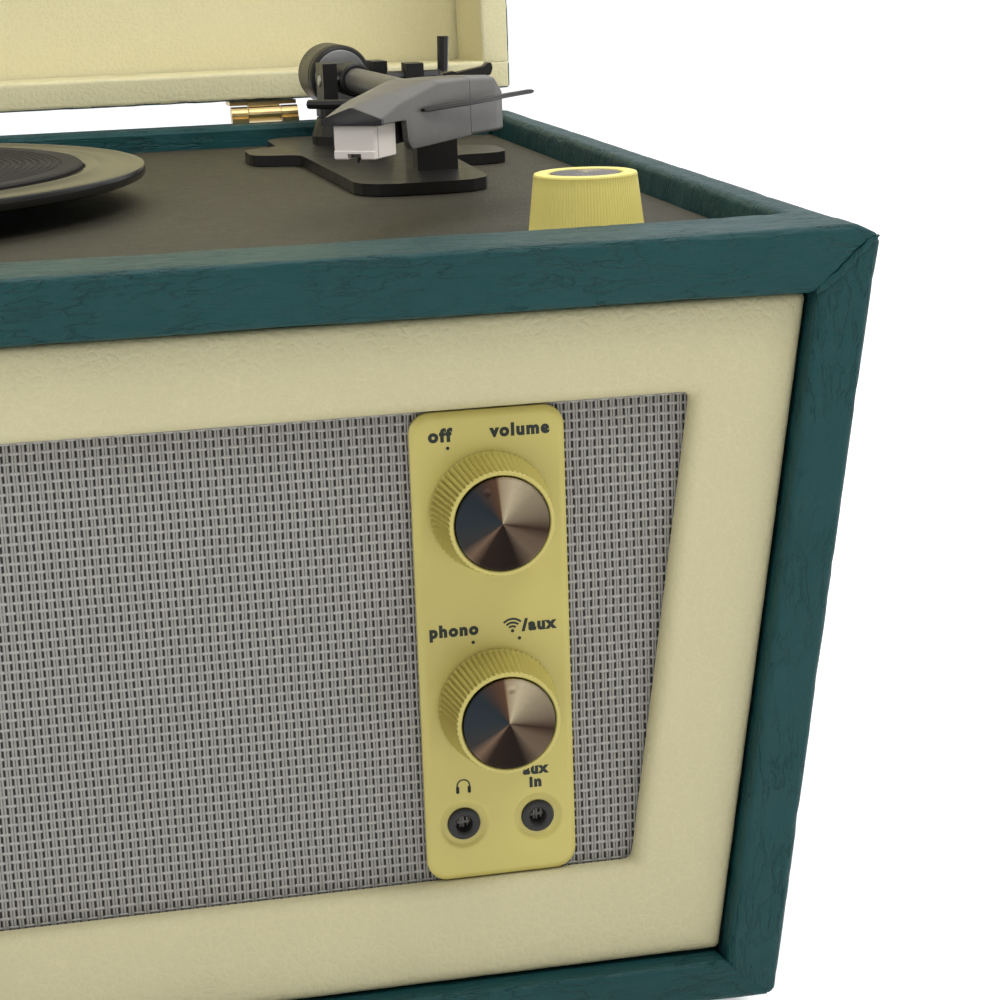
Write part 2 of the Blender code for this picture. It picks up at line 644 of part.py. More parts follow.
def make_controls():
    jack_z = PLATE_BOTTOM + JACK_FROM_PLATE_BOTTOM
    first_jack = PLATE_X - JACK_SPACING / 2
    jacks = (("headphone_jack", first_jack), ("aux_jack", first_jack + JACK_SPACING))
    knobs = [PLATE_TOP - drop for drop in KNOB_FROM_PLATE_TOP]
    shape = rounded(rectangle(PLATE_X, PLATE_Z, PLATE_WIDTH, PLATE_HEIGHT), PLATE_CORNER)
    holes = [circle(PLATE_X, z, SHAFT_RADIUS + GAP, 16) for z in knobs]
    holes += [circle(x, jack_z, JACK_RADIUS + GAP, 16) for _, x in jacks]
    middle = (PLATE_FACE + PLATE_BACK) / 2
    face = plate("control_plate", [shape, *holes], PLATE_THICKNESS, (0, middle, 0), CREAM_PLASTIC, "front")
    for name, x in jacks:
        place = (x, PLATE_FACE, jack_z)
        dish = cylinder(name + "_dish", JACK_DISH_RADIUS, 2 * JACK_DISH_DEPTH, place, None, "Y")
        combine(face, dish)
    behind = PLATE_THICKNESS + GAP
    toward_front = (pi / 2, 0, 0)
    knob = knob_profile(
        KNOB_HEIGHT, KNOB_TOP_RADIUS, KNOB_FOOT_RADIUS, KNOB_BASE_RADIUS, KNOB_FLANGE, CAP_RADIUS,
        SHAFT_LENGTH,
    )
    cap = cap_profile(CAP_RADIUS, KNOB_HEIGHT)
    body = switch_profile(POT_RADIUS, -behind, SHAFT_LENGTH, SHAFT_LENGTH + 2 * MM)
    for name, z, inside in zip(
        ("volume_knob", "selector_knob"), knobs, ("volume_potentiometer", "selector_switch")
    ):
        axis = empty(name + "_axis", (PLATE_X, PLATE_FACE, z), CASE, toward_front)
        turned(name, knob, CREAM_PLASTIC, (0, 0, GAP), parent=axis, steps=28)
        turned(name + "_cap", cap, DARK_METAL, (0, 0, GAP), parent=axis, steps=28)
        turned(inside, body, STEEL, (PLATE_X, PLATE_FACE, z), toward_front, steps=20)
    jack = [
        (0, -JACK_LENGTH + 1 * MM),
        (JACK_HOLE, -JACK_LENGTH + 1 * MM),
        (JACK_HOLE, -0.3 * MM),
        (JACK_HOLE + 0.4 * MM, 0.1 * MM),
        (JACK_RADIUS, 0.1 * MM),
        (JACK_RADIUS, -behind),
        (JACK_BODY_RADIUS, -behind),
        (JACK_BODY_RADIUS, -JACK_LENGTH),
        (0, -JACK_LENGTH),
    ]
    for name, x in jacks:
        turned(name, jack, BLACK_PLASTIC, (x, PLATE_FACE, jack_z), toward_front, steps=20)
    board_face = PLATE_FACE + SHAFT_LENGTH + 2 * MM + GAP
    half = Vector((PLATE_WIDTH, 0, PLATE_HEIGHT)) / 2 - Vector((1, 0, 1)) * BOARD_MARGIN
    centre = Vector((PLATE_X, board_face, PLATE_Z))
    block("amplifier_board", centre - half, centre + half + Vector((0, BOARD_THICKNESS, 0)), CIRCUIT)


def make_deck():
    half = half_width(DECK_BOTTOM) - SIDE_THICKNESS - GAP
    sheet = [(-half, DECK_FRONT), (half, DECK_FRONT), (half, DECK_BACK), (-half, DECK_BACK)]
    pulley = pulley_place()
    holes = [
        circle(PLATTER_X, PLATTER_Y, BEARING_RADIUS + GAP),
        circle(pulley[0], pulley[1], PULLEY_RADIUS + PULLEY_RIM + GAP, 20),
        circle(PIVOT_X, PIVOT_Y, PEDESTAL_RADIUS * 0.7 + GAP, 20),
        circle(SPEED_KNOB_X, SPEED_KNOB_Y, SHAFT_RADIUS + GAP, 20),
    ]
    plate("deck_plate", [sheet, *holes], DECK_THICKNESS, (0, 0, DECK_BOTTOM + DECK_THICKNESS / 2), DECK)
    axis = empty("speed_knob_axis", (SPEED_KNOB_X, SPEED_KNOB_Y, DECK_TOP), CASE)
    shaft = DECK_THICKNESS + SPEED_SHAFT_BELOW_DECK
    base = SPEED_KNOB_BASE + 0.2 * MM
    profile = knob_profile(
        SPEED_KNOB_HEIGHT, SPEED_KNOB_TOP, SPEED_KNOB_BASE, base, SPEED_KNOB_FLANGE, SPEED_CAP_RADIUS, shaft
    )
    turned("speed_knob", profile, CREAM_PLASTIC, (0, 0, GAP), parent=axis, steps=28)
    cap = cap_profile(SPEED_CAP_RADIUS, SPEED_KNOB_HEIGHT - SPEED_CAP_SUNK)
    turned("speed_knob_cap", cap, DARK_METAL, (0, 0, 2 * GAP), parent=axis)
    length = DECK_THICKNESS + SPEED_SWITCH_LENGTH
    body = switch_profile(SPEED_SWITCH_RADIUS, -DECK_THICKNESS - GAP, shaft, length)
    turned("speed_switch", body, STEEL, (SPEED_KNOB_X, SPEED_KNOB_Y, DECK_TOP), steps=20)


def pulley_place():
    return (
        PLATTER_X + PULLEY_DISTANCE * cos(PULLEY_ANGLE),
        PLATTER_Y + PULLEY_DISTANCE * sin(PULLEY_ANGLE),
    )


def belt_outline(ring, pulley):
    """The line round both wheels: their outer arcs, joined by straight runs."""
    lean = acos((ring - pulley) / PULLEY_DISTANCE)
    outline = []
    for x, y, radius, start, sweep, steps in (
        (PLATTER_X, PLATTER_Y, ring, PULLEY_ANGLE + lean, 2 * (pi - lean), 40),
        (*pulley_place(), pulley, PULLEY_ANGLE - lean, 2 * lean, 8),
    ):
        for step in range(steps + 1):
            angle = start + sweep * step / steps
            outline.append((x + radius * cos(angle), y + radius * sin(angle)))
    return outline


def make_platter():
    bore = SPINDLE_RADIUS + 0.4 * MM
    lip = 0.5 * MM
    inner = DRIVE_RING_RADIUS - DRIVE_RING_WALL
    profile = [
        (bore, -MAT_SEAT),
        (MAT_RADIUS + 0.6 * MM, -MAT_SEAT),
        (MAT_RADIUS + 0.6 * MM, 0),
        (PLATTER_RADIUS - 3 * MM, 0),
        (PLATTER_RADIUS - 2 * MM, lip),
        (PLATTER_RADIUS - 0.6 * MM, lip),
        (PLATTER_RADIUS, 0),
        (PLATTER_RADIUS, -PLATTER_LIP),
        (PLATTER_RADIUS - 2 * MM, -PLATTER_WEB),
        (DRIVE_RING_RADIUS, -PLATTER_WEB),
        (DRIVE_RING_RADIUS, -DRIVE_RING_BOTTOM),
        (inner, -DRIVE_RING_BOTTOM),
        (inner, -PLATTER_WEB),
        (PLATTER_HUB_RADIUS, -PLATTER_WEB),
        (PLATTER_HUB_RADIUS, -DRIVE_RING_BOTTOM + 0.9 * MM),
        (bore, -DRIVE_RING_BOTTOM + 0.9 * MM),
    ]
    axis = empty("platter_axis", (PLATTER_X, PLATTER_Y, PLATTER_TOP), CASE)
    turned("platter", profile, BLACK_PLASTIC, (0, 0, 0), parent=axis, steps=44)
    top = MAT_TOP - PLATTER_TOP
    hole = bore + GAP
    mat = [(hole, top), (MAT_RADIUS, top), (MAT_RADIUS, top - MAT_THICKNESS), (hole, top - MAT_THICKNESS)]
    turned("platter_mat", mat, RUBBER, (0, 0, 0), parent=axis, steps=44)

    deck = -PLATTER_ABOVE_DECK
    tip = top + SPINDLE_ABOVE_MAT
    flange = deck + GAP + BEARING_FLANGE_THICKNESS
    spindle = [
        (0, tip),
        (SPINDLE_RADIUS * 0.6, tip - 0.6 * MM),
        (SPINDLE_RADIUS, tip - 3 * MM),
        (SPINDLE_RADIUS, flange),
        (BEARING_FLANGE, flange),
        (BEARING_FLANGE, deck + GAP),
        (BEARING_RADIUS, deck + GAP),
        (BEARING_RADIUS, deck - BEARING_LENGTH),
        (0, deck - BEARING_LENGTH),
    ]
    turned("platter_spindle", spindle, STEEL, (PLATTER_X, PLATTER_Y, PLATTER_TOP))
    belt_middle = -(PLATTER_WEB + DRIVE_RING_BOTTOM) / 2
    x, y = pulley_place()
    middle = PLATTER_TOP + belt_middle
    outer = belt_outline(DRIVE_RING_RADIUS + GAP + BELT_THICKNESS, PULLEY_RADIUS + GAP + BELT_THICKNESS)
    inside = belt_outline(DRIVE_RING_RADIUS + GAP, PULLEY_RADIUS + GAP)
    plate("drive_belt", [outer, inside], BELT_HEIGHT, (0, 0, middle), RUBBER)
    groove = BELT_HEIGHT / 2 + GAP
    rim = PULLEY_RADIUS + PULLEY_RIM
    shaft = MOTOR_HEIGHT * 0.6 + PLATTER_ABOVE_DECK + DECK_THICKNESS + belt_middle
    pulley = [
        (0, groove + PULLEY_RIM),
        (rim, groove + PULLEY_RIM),
        (rim, groove + 0.1 * MM),
        (PULLEY_RADIUS, groove),
        (PULLEY_RADIUS, -groove),
        (rim, -groove - 0.1 * MM),
        (rim, -groove - PULLEY_RIM),
        (MOTOR_SHAFT, -groove - PULLEY_RIM),
        (MOTOR_SHAFT, -shaft),
        (0, -shaft),
    ]
    axis = empty("motor_axis", (x, y, middle), CASE)
    turned("motor_pulley", pulley, BRASS, (0, 0, 0), parent=axis, steps=20)
    floor = middle - shaft - GAP
    top = DECK_BOTTOM - GAP
    can = [
        (0, floor),
        (MOTOR_SHAFT + GAP, floor),
        (MOTOR_SHAFT + GAP, top),
        (MOTOR_RADIUS, top),
        (MOTOR_RADIUS, top - MOTOR_HEIGHT),
        (0, top - MOTOR_HEIGHT),
    ]
    turned("motor", can, STEEL, (x, y, 0), steps=20)


def head_frame():
    """The headshell's frame: X across it, Y from its nose towards the arm, Z up."""
    return empty("headshell_frame", (HEAD_FRONT_X, HEAD_FRONT_Y, ARM_Z), TONEARM, (0, 0, -HEAD_ANGLE))


def loft(name, sections, finish, parent):
    """A closed body through outlines with the same number of points, each in a plane across local Y."""

    def fill(shape):
        rings = []
        for along, outline in sections:
            rings.append([shape.verts.new((x, along, z)) for x, z in outline])
        for near, far in zip(rings, rings[1:]):
            for i in range(len(near)):
                j = (i + 1) % len(near)
                shape.faces.new((near[i], near[j], far[j], far[i]))
        shape.faces.new(rings[0])
        shape.faces.new(rings[-1])

    return shade_round(add(name, mesh_of(fill, name), finish, parent=parent))


def gable(half, low, eave, ridge, ridge_half):
    """A section with upright sides and a roof that slopes up to a flat ridge."""
    return [(-half, low), (half, low), (half, eave), (ridge_half, ridge), (-ridge_half, ridge), (-half, eave)]


def make_headshell():
    frame = head_frame()
    half = HEAD_WIDTH / 2
    skirt = -5.5 * MM
    roof = 11.4 * MM
    lip = 2.6 * MM
    shell = [
        (0, gable(half, lip, lip + 1.6 * MM, 6.8 * MM, 0.5 * MM)),
        (12 * MM, gable(half, lip, lip + 4.2 * MM, 8.2 * MM, 1.2 * MM)),
        (38 * MM, gable(half, lip, roof - 0.8 * MM, roof, half - 2 * MM)),
        (HEAD_LENGTH, gable(half, lip, roof - 1.4 * MM, roof - 0.6 * MM, half - 2 * MM)),
    ]
    head = loft("headshell", shell, GREY_PLASTIC, frame)
    for side in (-1, 1):
        x = side * (half - HEAD_WALL / 2)
        start, stop = 16 * MM, HEAD_LENGTH
        wall = block(
            f"headshell_wall_{side}",
            (x - HEAD_WALL / 2, start, skirt),
            (x + HEAD_WALL / 2, stop, lip + 1 * MM),
            None,
            parent=frame,
        )
        combine(head, wall, "UNION")
    width = CARTRIDGE_WIDTH / 2
    low = (-width, STYLUS_LENGTH + 2 * GAP + 1 * MM, skirt + 1.5 * MM)
    block("cartridge", low, (width, 34 * MM, lip - GAP), BLACK_PLASTIC, 0.4 * MM, frame, 1)
    tip_low = -6.3 * MM
    low, high = (-width, 1 * MM, tip_low), (width, STYLUS_LENGTH, lip - GAP)
    holder = block("stylus_holder", low, high, WHITE_PLASTIC, parent=frame)
    channel_half = 1.8 * MM
    low = (-channel_half, 0, tip_low - 1 * MM)
    high = (channel_half, STYLUS_LENGTH * 0.75, tip_low + 1.6 * MM)
    combine(holder, block("stylus_channel", low, high, None, parent=frame))
    cantilever = rod(
        "stylus_cantilever",
        [
            (0, 12 * MM, tip_low + 2.2 * MM),
            (0, 4.2 * MM, tip_low - 0.5 * MM),
            (0, 3.9 * MM, tip_low - 1.6 * MM),
        ],
        0.45 * MM,
        None,
        frame,
        1,
    )
    combine(holder, cantilever, "UNION")
    blade = [
        (half + GAP, 24 * MM),
        (half + 4.5 * MM, 55 * MM),
        (half + 7 * MM, 88 * MM),
        (half + 5.5 * MM, 91 * MM),
        (half + 1.5 * MM, 60 * MM),
        (half + GAP, 56 * MM),
    ]
    radii = [r * MM for r in (0.2, 3, 0.7, 0.7, 3, 0.2)]
    middle = (0, 0, lip + 1.7 * MM)
    plate("finger_lift", [rounded(blade, radii, 2)], LIFT_THICKNESS, middle, BLACK_PLASTIC, parent=frame)
    return frame


def make_arm_base():
    nose = PIVOT_X - 0.2 * MM
    outline = [
        (nose - 20 * MM, REST_Y - 38 * MM),
        (nose + 20 * MM, REST_Y - 38 * MM),
        (nose + 22 * MM, PIVOT_Y - 66 * MM),
        (nose + 42 * MM, PIVOT_Y - 66 * MM),
        (nose + 42 * MM, PIVOT_Y - 38 * MM),
        (nose + 28 * MM, PIVOT_Y - 30 * MM),
        (nose + 28 * MM, PIVOT_Y + 33 * MM),
        (nose - 28 * MM, PIVOT_Y + 33 * MM),
        (nose - 28 * MM, PIVOT_Y - 2 * MM),
        (nose - 40 * MM, PIVOT_Y - 6 * MM),
        (nose - 40 * MM, PIVOT_Y - 32 * MM),
        (nose - 24 * MM, PIVOT_Y - 38 * MM),
    ]
    radii = [r * MM for r in (12, 12, 6, 9, 9, 5, 10, 10, 4, 8, 8, 6)]
    middle = ARM_BASE_TOP - ARM_BASE_THICKNESS / 2
    base = plate("arm_base", [rounded(outline, radii, 3)], ARM_BASE_THICKNESS, (0, 0, middle), BLACK_PLASTIC)

    top = ARM_BASE_TOP + PEDESTAL_HEIGHT
    bore = YOKE_STEM + GAP
    foot = DECK_BOTTOM - 4 * MM
    pedestal = [
        (0, top - 14 * MM),
        (bore, top - 14 * MM),
        (bore, top),
        (PEDESTAL_RADIUS - 2 * MM, top),
        (PEDESTAL_RADIUS, top - 6 * MM),
        (PEDESTAL_RADIUS, ARM_BASE_TOP - 1 * MM),
        (PEDESTAL_RADIUS * 0.7, ARM_BASE_TOP - 1 * MM),
        (PEDESTAL_RADIUS * 0.7, foot),
        (0, foot),
    ]
    through = cylinder("arm_base_bore", bore + 0.1 * MM, 20 * MM, (PIVOT_X, PIVOT_Y, ARM_BASE_TOP), None)
    combine(base, through)
    combine(base, turned("arm_pedestal", pedestal, None, (PIVOT_X, PIVOT_Y, 0)), "UNION")

    floor = ARM_Z - ARM_RADIUS - REST_CLEARANCE
    half = REST_WIDTH / 2
    low, high = PRONG_X, PRONG_X + PRONG_THICKNESS
    back = REST_Y + half
    step = 0.2 * MM  # the post and the ear stand back from the prong's faces
    low_corner = (arm_x(REST_Y) - half + step, REST_Y - half + step, ARM_BASE_TOP - GAP)
    post = block("rest_post", low_corner, (high - step, back - step, floor), None)
    prong_top = CLIP_Z - CLIP_EYE - 2 * GAP
    prong = block("rest_prong", (low, REST_Y - half, floor - GAP), (high, back, prong_top), None)
    ear_face = REST_Y + CLIP_WIDTH / 2 + GAP
    low_corner = (low + step, ear_face, floor)
    ear = block("rest_ear", low_corner, (high - step, back - step, CLIP_Z + CLIP_EYE), None)
    pin_middle = (CLIP_X, REST_Y + (half - CLIP_WIDTH / 2) / 2, CLIP_Z)
    pin = cylinder("clip_pin", CLIP_PIN, half + CLIP_WIDTH / 2, pin_middle, None, "Y", sides=12)
    guide = cue_place()
    boss_z = ARM_BASE_TOP + (CUE_BOSS_HEIGHT - 1 * MM) / 2
    boss = cylinder("cue_boss", CUE_BOSS_RADIUS, CUE_BOSS_HEIGHT + 1 * MM, (*guide, boss_z), None)
    bracket_x = CUE_LEVER_X + 9 * MM
    half = CUE_BRACKET / 2
    lever_z = ARM_Z + CUE_LEVER_ABOVE_ARM
    low_corner = (bracket_x - half, CUE_LEVER_Y - 5 * MM, ARM_BASE_TOP - 1 * MM)
    high_corner = (bracket_x + half, CUE_LEVER_Y + 5 * MM, lever_z + 4.5 * MM)
    bracket = block("cue_bracket", low_corner, high_corner, None)
    for piece in (post, prong, ear, pin, boss, bracket):
        combine(base, piece, "UNION")
    guide_bore = cylinder("cue_guide_bore", CUE_POST_RADIUS + GAP, 30 * MM, (*guide, ARM_BASE_TOP), None)
    combine(base, guide_bore)
    bush = cylinder(
        "cue_bracket_bore", CUE_LEVER_RADIUS + GAP, 20 * MM, (bracket_x, CUE_LEVER_Y, lever_z), None, "X"
    )
    combine(base, bush)


def cue_place():
    """Where the lift bar's post stands, part way along the bar's arc."""
    angle = ARM_LEAN + CUE_POST_ANGLE
    return (PIVOT_X - CUE_RADIUS * sin(angle), PIVOT_Y - CUE_RADIUS * cos(angle))


def make_arm(frame):
    half = HEAD_WIDTH / 2
    start, stop = HEAD_LENGTH + GAP, HEAD_LENGTH + NECK_LENGTH
    neck_sections = [
        (start, gable(half, -5.5 * MM, 9.9 * MM, 10.7 * MM, half - 2 * MM)),
        (stop - 8 * MM, gable(half, -6 * MM, 8.8 * MM, 9.8 * MM, half - 2 * MM)),
        (stop - 2.5 * MM, gable(half, -6 * MM, 5 * MM, 7 * MM, half - 2.5 * MM)),
        (stop, gable(half - 2 * MM, -5 * MM, 1 * MM, 3 * MM, half - 4 * MM)),
    ]
    neck = loft("arm_neck", neck_sections, None, frame)
    start_bend = HEAD_LENGTH + NECK_LENGTH - 14 * MM
    bend = (HEAD_FRONT_X + start_bend * sin(HEAD_ANGLE), HEAD_FRONT_Y + start_bend * cos(HEAD_ANGLE), ARM_Z)
    rear = PIVOT_Y + COUNTERWEIGHT_BEHIND + COUNTERWEIGHT_LENGTH * 0.8
    line = [bend, (NECK_X, NECK_Y, ARM_Z), (PIVOT_X, PIVOT_Y, ARM_Z), (arm_x(rear), rear, ARM_Z)]
    tube = rod("arm_tube", line, ARM_RADIUS, GREY_PLASTIC, TONEARM, 3)
    combine(tube, neck, "UNION")
    pivot_half = 5.5 * MM
    low, high = (-pivot_half, -8 * MM, -pivot_half), (pivot_half, 8 * MM, pivot_half)
    combine(tube, block("pivot_hub", low, high, None, parent=ARM_FRAME), "UNION")
    pin = cylinder("trunnion", TRUNNION_RADIUS, 24 * MM, (0, 0, 0), None, "X", ARM_FRAME, 16)
    combine(tube, pin, "UNION")
    bore = ARM_RADIUS + GAP
    start = COUNTERWEIGHT_BEHIND
    stop = start + COUNTERWEIGHT_LENGTH
    edge = 1.2 * MM
    weight = [
        (bore, -start),
        (COUNTERWEIGHT_RADIUS - edge, -start),
        (COUNTERWEIGHT_RADIUS, -start - edge),
        (COUNTERWEIGHT_RADIUS, -stop + edge),
        (COUNTERWEIGHT_RADIUS - edge, -stop),
        (bore, -stop),
    ]
    turned("counterweight", weight, STEEL, (0, 0, 0), (pi / 2, 0, 0), ARM_FRAME)
    disc_low = ARM_BASE_TOP + PEDESTAL_HEIGHT + 2 * GAP - ARM_Z
    disc_top = disc_low + YOKE_DISC_THICKNESS
    stem = [
        (0, disc_top),
        (YOKE_DISC, disc_top),
        (YOKE_DISC, disc_low),
        (YOKE_STEM, disc_low),
        (YOKE_STEM, disc_low - YOKE_STEM_LENGTH),
        (0, disc_low - YOKE_STEM_LENGTH),
    ]
    yoke = turned("arm_yoke", stem, BLACK_PLASTIC, (0, 0, 0), parent=YOKE_FRAME)
    for side in (-1, 1):
        near, far = sorted((side * YOKE_GAP, side * (YOKE_GAP + YOKE_UPRIGHT)))
        low, high = (near, -6 * MM, disc_low + 1 * MM), (far, 6 * MM, 6 * MM)
        combine(yoke, block(f"yoke_upright_{side}", low, high, None, parent=YOKE_FRAME), "UNION")
    bore = cylinder("yoke_bore", TRUNNION_RADIUS + GAP, 40 * MM, (0, 0, 0), None, "X", YOKE_FRAME, 16)
    combine(yoke, bore)


def make_cueing():
    """The lift bar, an arc round the arm's pivot on a sliding post, and the lever that moves it."""
    guide = cue_place()
    bar_z = ARM_Z - ARM_RADIUS - CUE_CLEARANCE - CUE_ROD
    arc = []
    steps = 8
    for step in range(steps + 1):
        angle = ARM_LEAN + CUE_ARC_START + CUE_ARC_SWEEP * step / steps
        arc.append((PIVOT_X - CUE_RADIUS * sin(angle), PIVOT_Y - CUE_RADIUS * cos(angle), bar_z))
    bar = rod("cue_lift_bar", arc, CUE_ROD, BLACK_PLASTIC)
    low = ARM_BASE_TOP + CUE_TRAVEL + 1 * MM
    middle = (*guide, (bar_z + low) / 2)
    combine(bar, cylinder("cue_post", CUE_POST_RADIUS, bar_z - low, middle, None, sides=16), "UNION")
    far = CUE_LEVER_X + CUE_LEVER_LENGTH
    line = [
        (CUE_LEVER_X, 0, 0),
        (far - CUE_LEVER_RADIUS, 0, 0),
        (far - 0.5 * MM, 0, 1.2 * MM),
        (far, 0, CUE_LEVER_RISE),
    ]
    axis = empty("cue_lever_axis", (0, CUE_LEVER_Y, ARM_Z + CUE_LEVER_ABOVE_ARM), CASE)
    rod("cue_lever", line, CUE_LEVER_RADIUS, BLACK_PLASTIC, axis)


def make_arm_clip():
    """A hook pinned to the rest's prong, which swings over the tube. It lies open, out to the right."""
    axis = empty("arm_clip_axis", (CLIP_X, REST_Y, CLIP_Z), CASE, (0, CLIP_OPEN, 0))
    eye = CLIP_EYE
    tip = CLIP_LENGTH
    points = [
        (-eye, -eye),
        (eye, -eye),
        (eye, tip - 1 * MM),
        (0, tip),
        (-eye, tip),
        (-eye, tip - 1.5 * MM),
        (-eye + 0.7 * MM, tip - 2.5 * MM),
        (-eye + 0.7 * MM, eye + 1 * MM),
        (-eye, eye),
    ]
    hole = circle(0, 0, CLIP_PIN + GAP, 12)
    outlines = [rounded(points, 0.3 * MM, 1), hole]
    plate("arm_clip", outlines, CLIP_WIDTH, (0, 0, 0), BLACK_PLASTIC, "front", parent=axis)


def make_lid():
    pivot = empty("lid_pivot", (0, HINGE_Y, HINGE_Z), CASE, (-LID_OPEN, 0, 0))
    front, back = LID_FRONT - HINGE_Y, BACK - HINGE_Y
    low, high = LID_BOTTOM - HINGE_Z, LID_TOP - HINGE_Z
    wall_top = high - LID_PANEL - GAP
    near, far = front + LID_WALL + GAP, back - LID_WALL - GAP
    inner = LID_HALF - LID_WALL
    for name, low_corner, high_corner in (
        ("lid_panel", (-LID_HALF, front, high - LID_PANEL), (LID_HALF, back, high)),
        ("lid_front_wall", (-LID_HALF, front, low), (LID_HALF, front + LID_WALL, wall_top)),
        ("lid_back_wall", (-LID_HALF, back - LID_WALL, low), (LID_HALF, back, wall_top)),
        ("lid_left_wall", (-LID_HALF, near, low), (-inner, far, wall_top)),
        ("lid_right_wall", (inner, near, low), (LID_HALF, far, wall_top)),
    ):
        block(name, low_corner, high_corner, TEAL, BOARD_EDGE, pivot)
    make_hinges(pivot)
    make_hasp(pivot, front, low)


def make_hinges(pivot):
    """Case leaves with two knuckles and a fixed pin, and lid leaves with one knuckle between them."""
    knuckle = HINGE_WIDTH / 4
    leaf_face = BACK + GAP
    outer = HINGE_WIDTH / 2
    for side, name in ((-1, "hinge_left"), (1, "hinge_right")):
        x = side * HINGE_X
        top = RIM_TOP - 2 * MM
        case_leaf = block(
            name + "_case_leaf",
            (x - outer, leaf_face, top - HINGE_LEAF_HEIGHT),
            (x + outer, leaf_face + HINGE_LEAF, top),
            BRASS,
        )
        for end in (-1, 1):
            middle = x + end * (outer - knuckle / 2)
            place = (middle, HINGE_Y, HINGE_Z)
            barrel = cylinder(f"{name}_barrel_{end}", HINGE_KNUCKLE, knuckle, place, None, "X", sides=20)
            web = block(
                f"{name}_web_{end}",
                (middle - knuckle / 2, leaf_face + 0.2 * MM, top - 2 * MM),
                (middle + knuckle / 2, HINGE_Y, HINGE_Z - HINGE_KNUCKLE * 0.4),
                None,
            )
            combine(case_leaf, web, "UNION")
            combine(case_leaf, barrel, "UNION")
        place = (x, HINGE_Y, HINGE_Z)
        pin = cylinder(name + "_pin", HINGE_PIN, HINGE_WIDTH - 0.4 * MM, place, None, "X", sides=16)
        combine(case_leaf, pin, "UNION")

        reach = outer - knuckle - GAP
        face = BACK + GAP - HINGE_Y
        start = 1 * MM
        lid_leaf = block(
            name + "_lid_leaf",
            (x - outer, face, start + 1.5 * MM),
            (x + outer, face + HINGE_LEAF, start + HINGE_LEAF_HEIGHT),
            BRASS,
            parent=pivot,
        )
        low, high = (x - reach, face + 0.2 * MM, start), (x + reach, 0, start + 4 * MM)
        combine(lid_leaf, block(name + "_lid_web", low, high, None, parent=pivot), "UNION")
        barrel = cylinder(name + "_lid_barrel", HINGE_KNUCKLE, 2 * reach, (x, 0, 0), None, "X", pivot, 20)
        combine(lid_leaf, barrel, "UNION")
        bore = cylinder(
            name + "_lid_bore", HINGE_PIN + GAP, HINGE_WIDTH * 1.2, (x, 0, 0), None, "X", pivot, 16
        )
        combine(lid_leaf, bore)
        clear = HINGE_KNUCKLE + GAP
        for end in (-1, 1):
            near, far = sorted((x + end * (reach + GAP), x + end * (outer + 1 * MM)))
            low, high = (near, -clear, start), (far, HINGE_BEHIND, clear)
            combine(lid_leaf, block(f"{name}_relief_{end}", low, high, None, parent=pivot))


def make_hasp(pivot, front, low):
    """A snap hasp in the middle of the lid's front wall, sprung open, and the keeper that it closes over."""
    half = HASP_WIDTH / 2
    ear = HASP_WIDTH * 0.22
    keeper_face = FRONT - GAP - KEEPER_THICKNESS
    axis_y = keeper_face - GAP - HASP_THICKNESS + HASP_KNUCKLE - HINGE_Y
    axis_z = low + HASP_ABOVE_EDGE
    plate_face = front - GAP
    plate_bottom = axis_z + HASP_KNUCKLE + GAP
    base = block(
        "hasp_base",
        (-half, plate_face - HASP_THICKNESS, plate_bottom),
        (half, plate_face, plate_bottom + HASP_BASE_HEIGHT),
        BRASS,
        parent=pivot,
    )
    for end in (-1, 1):
        middle = end * (half - ear / 2)
        place = (middle, axis_y, axis_z)
        web_low = (middle - ear / 2, axis_y, axis_z)
        web_high = (middle + ear / 2, plate_face, plate_bottom + GAP)
        combine(base, block(f"hasp_web_{end}", web_low, web_high, None, parent=pivot), "UNION")
        combine(base, cylinder(f"hasp_ear_{end}", HASP_KNUCKLE, ear, place, None, "X", pivot, 16), "UNION")
    pin = cylinder("hasp_pin", HASP_PIN, HASP_WIDTH - GAP, (0, axis_y, axis_z), None, "X", pivot, 12)
    combine(base, pin, "UNION")

    axis = empty("hasp_axis", (0, axis_y, axis_z), pivot, (-HASP_OPEN, 0, 0))
    reach = half - ear - GAP
    stud_z = RIM_TOP - KEEPER_BELOW_RIM
    drop = axis_z + HINGE_Z - stud_z
    hasp = block(
        "lid_hasp",
        (-reach, -HASP_KNUCKLE, -drop - HASP_TAIL),
        (reach, HASP_THICKNESS - HASP_KNUCKLE, 0),
        BRASS,
        parent=axis,
    )
    combine(hasp, cylinder("hasp_barrel", HASP_KNUCKLE, 2 * reach, (0, 0, 0), None, "X", axis, 16), "UNION")
    combine(hasp, cylinder("hasp_bore", HASP_PIN + GAP, HASP_WIDTH, (0, 0, 0), None, "X", axis, 12))
    eye = (0, -HASP_KNUCKLE, -drop)
    combine(hasp, cylinder("hasp_eye", KEEPER_STUD + HASP_PLAY, 4 * HASP_THICKNESS, eye, None, "Y", axis, 16))

    keeper = block(
        "hasp_keeper",
        (-half, keeper_face, stud_z - KEEPER_HEIGHT / 2),
        (half, FRONT - GAP, stud_z + KEEPER_HEIGHT / 2),
        BRASS,
    )
    tip = keeper_face - GAP - HASP_THICKNESS - HASP_PLAY
    place = (0, (FRONT - 2 * GAP + tip) / 2, stud_z)
    stud = cylinder("keeper_stud", KEEPER_STUD, FRONT - 2 * GAP - tip, place, None, "Y", sides=16)
    combine(keeper, stud, "UNION")


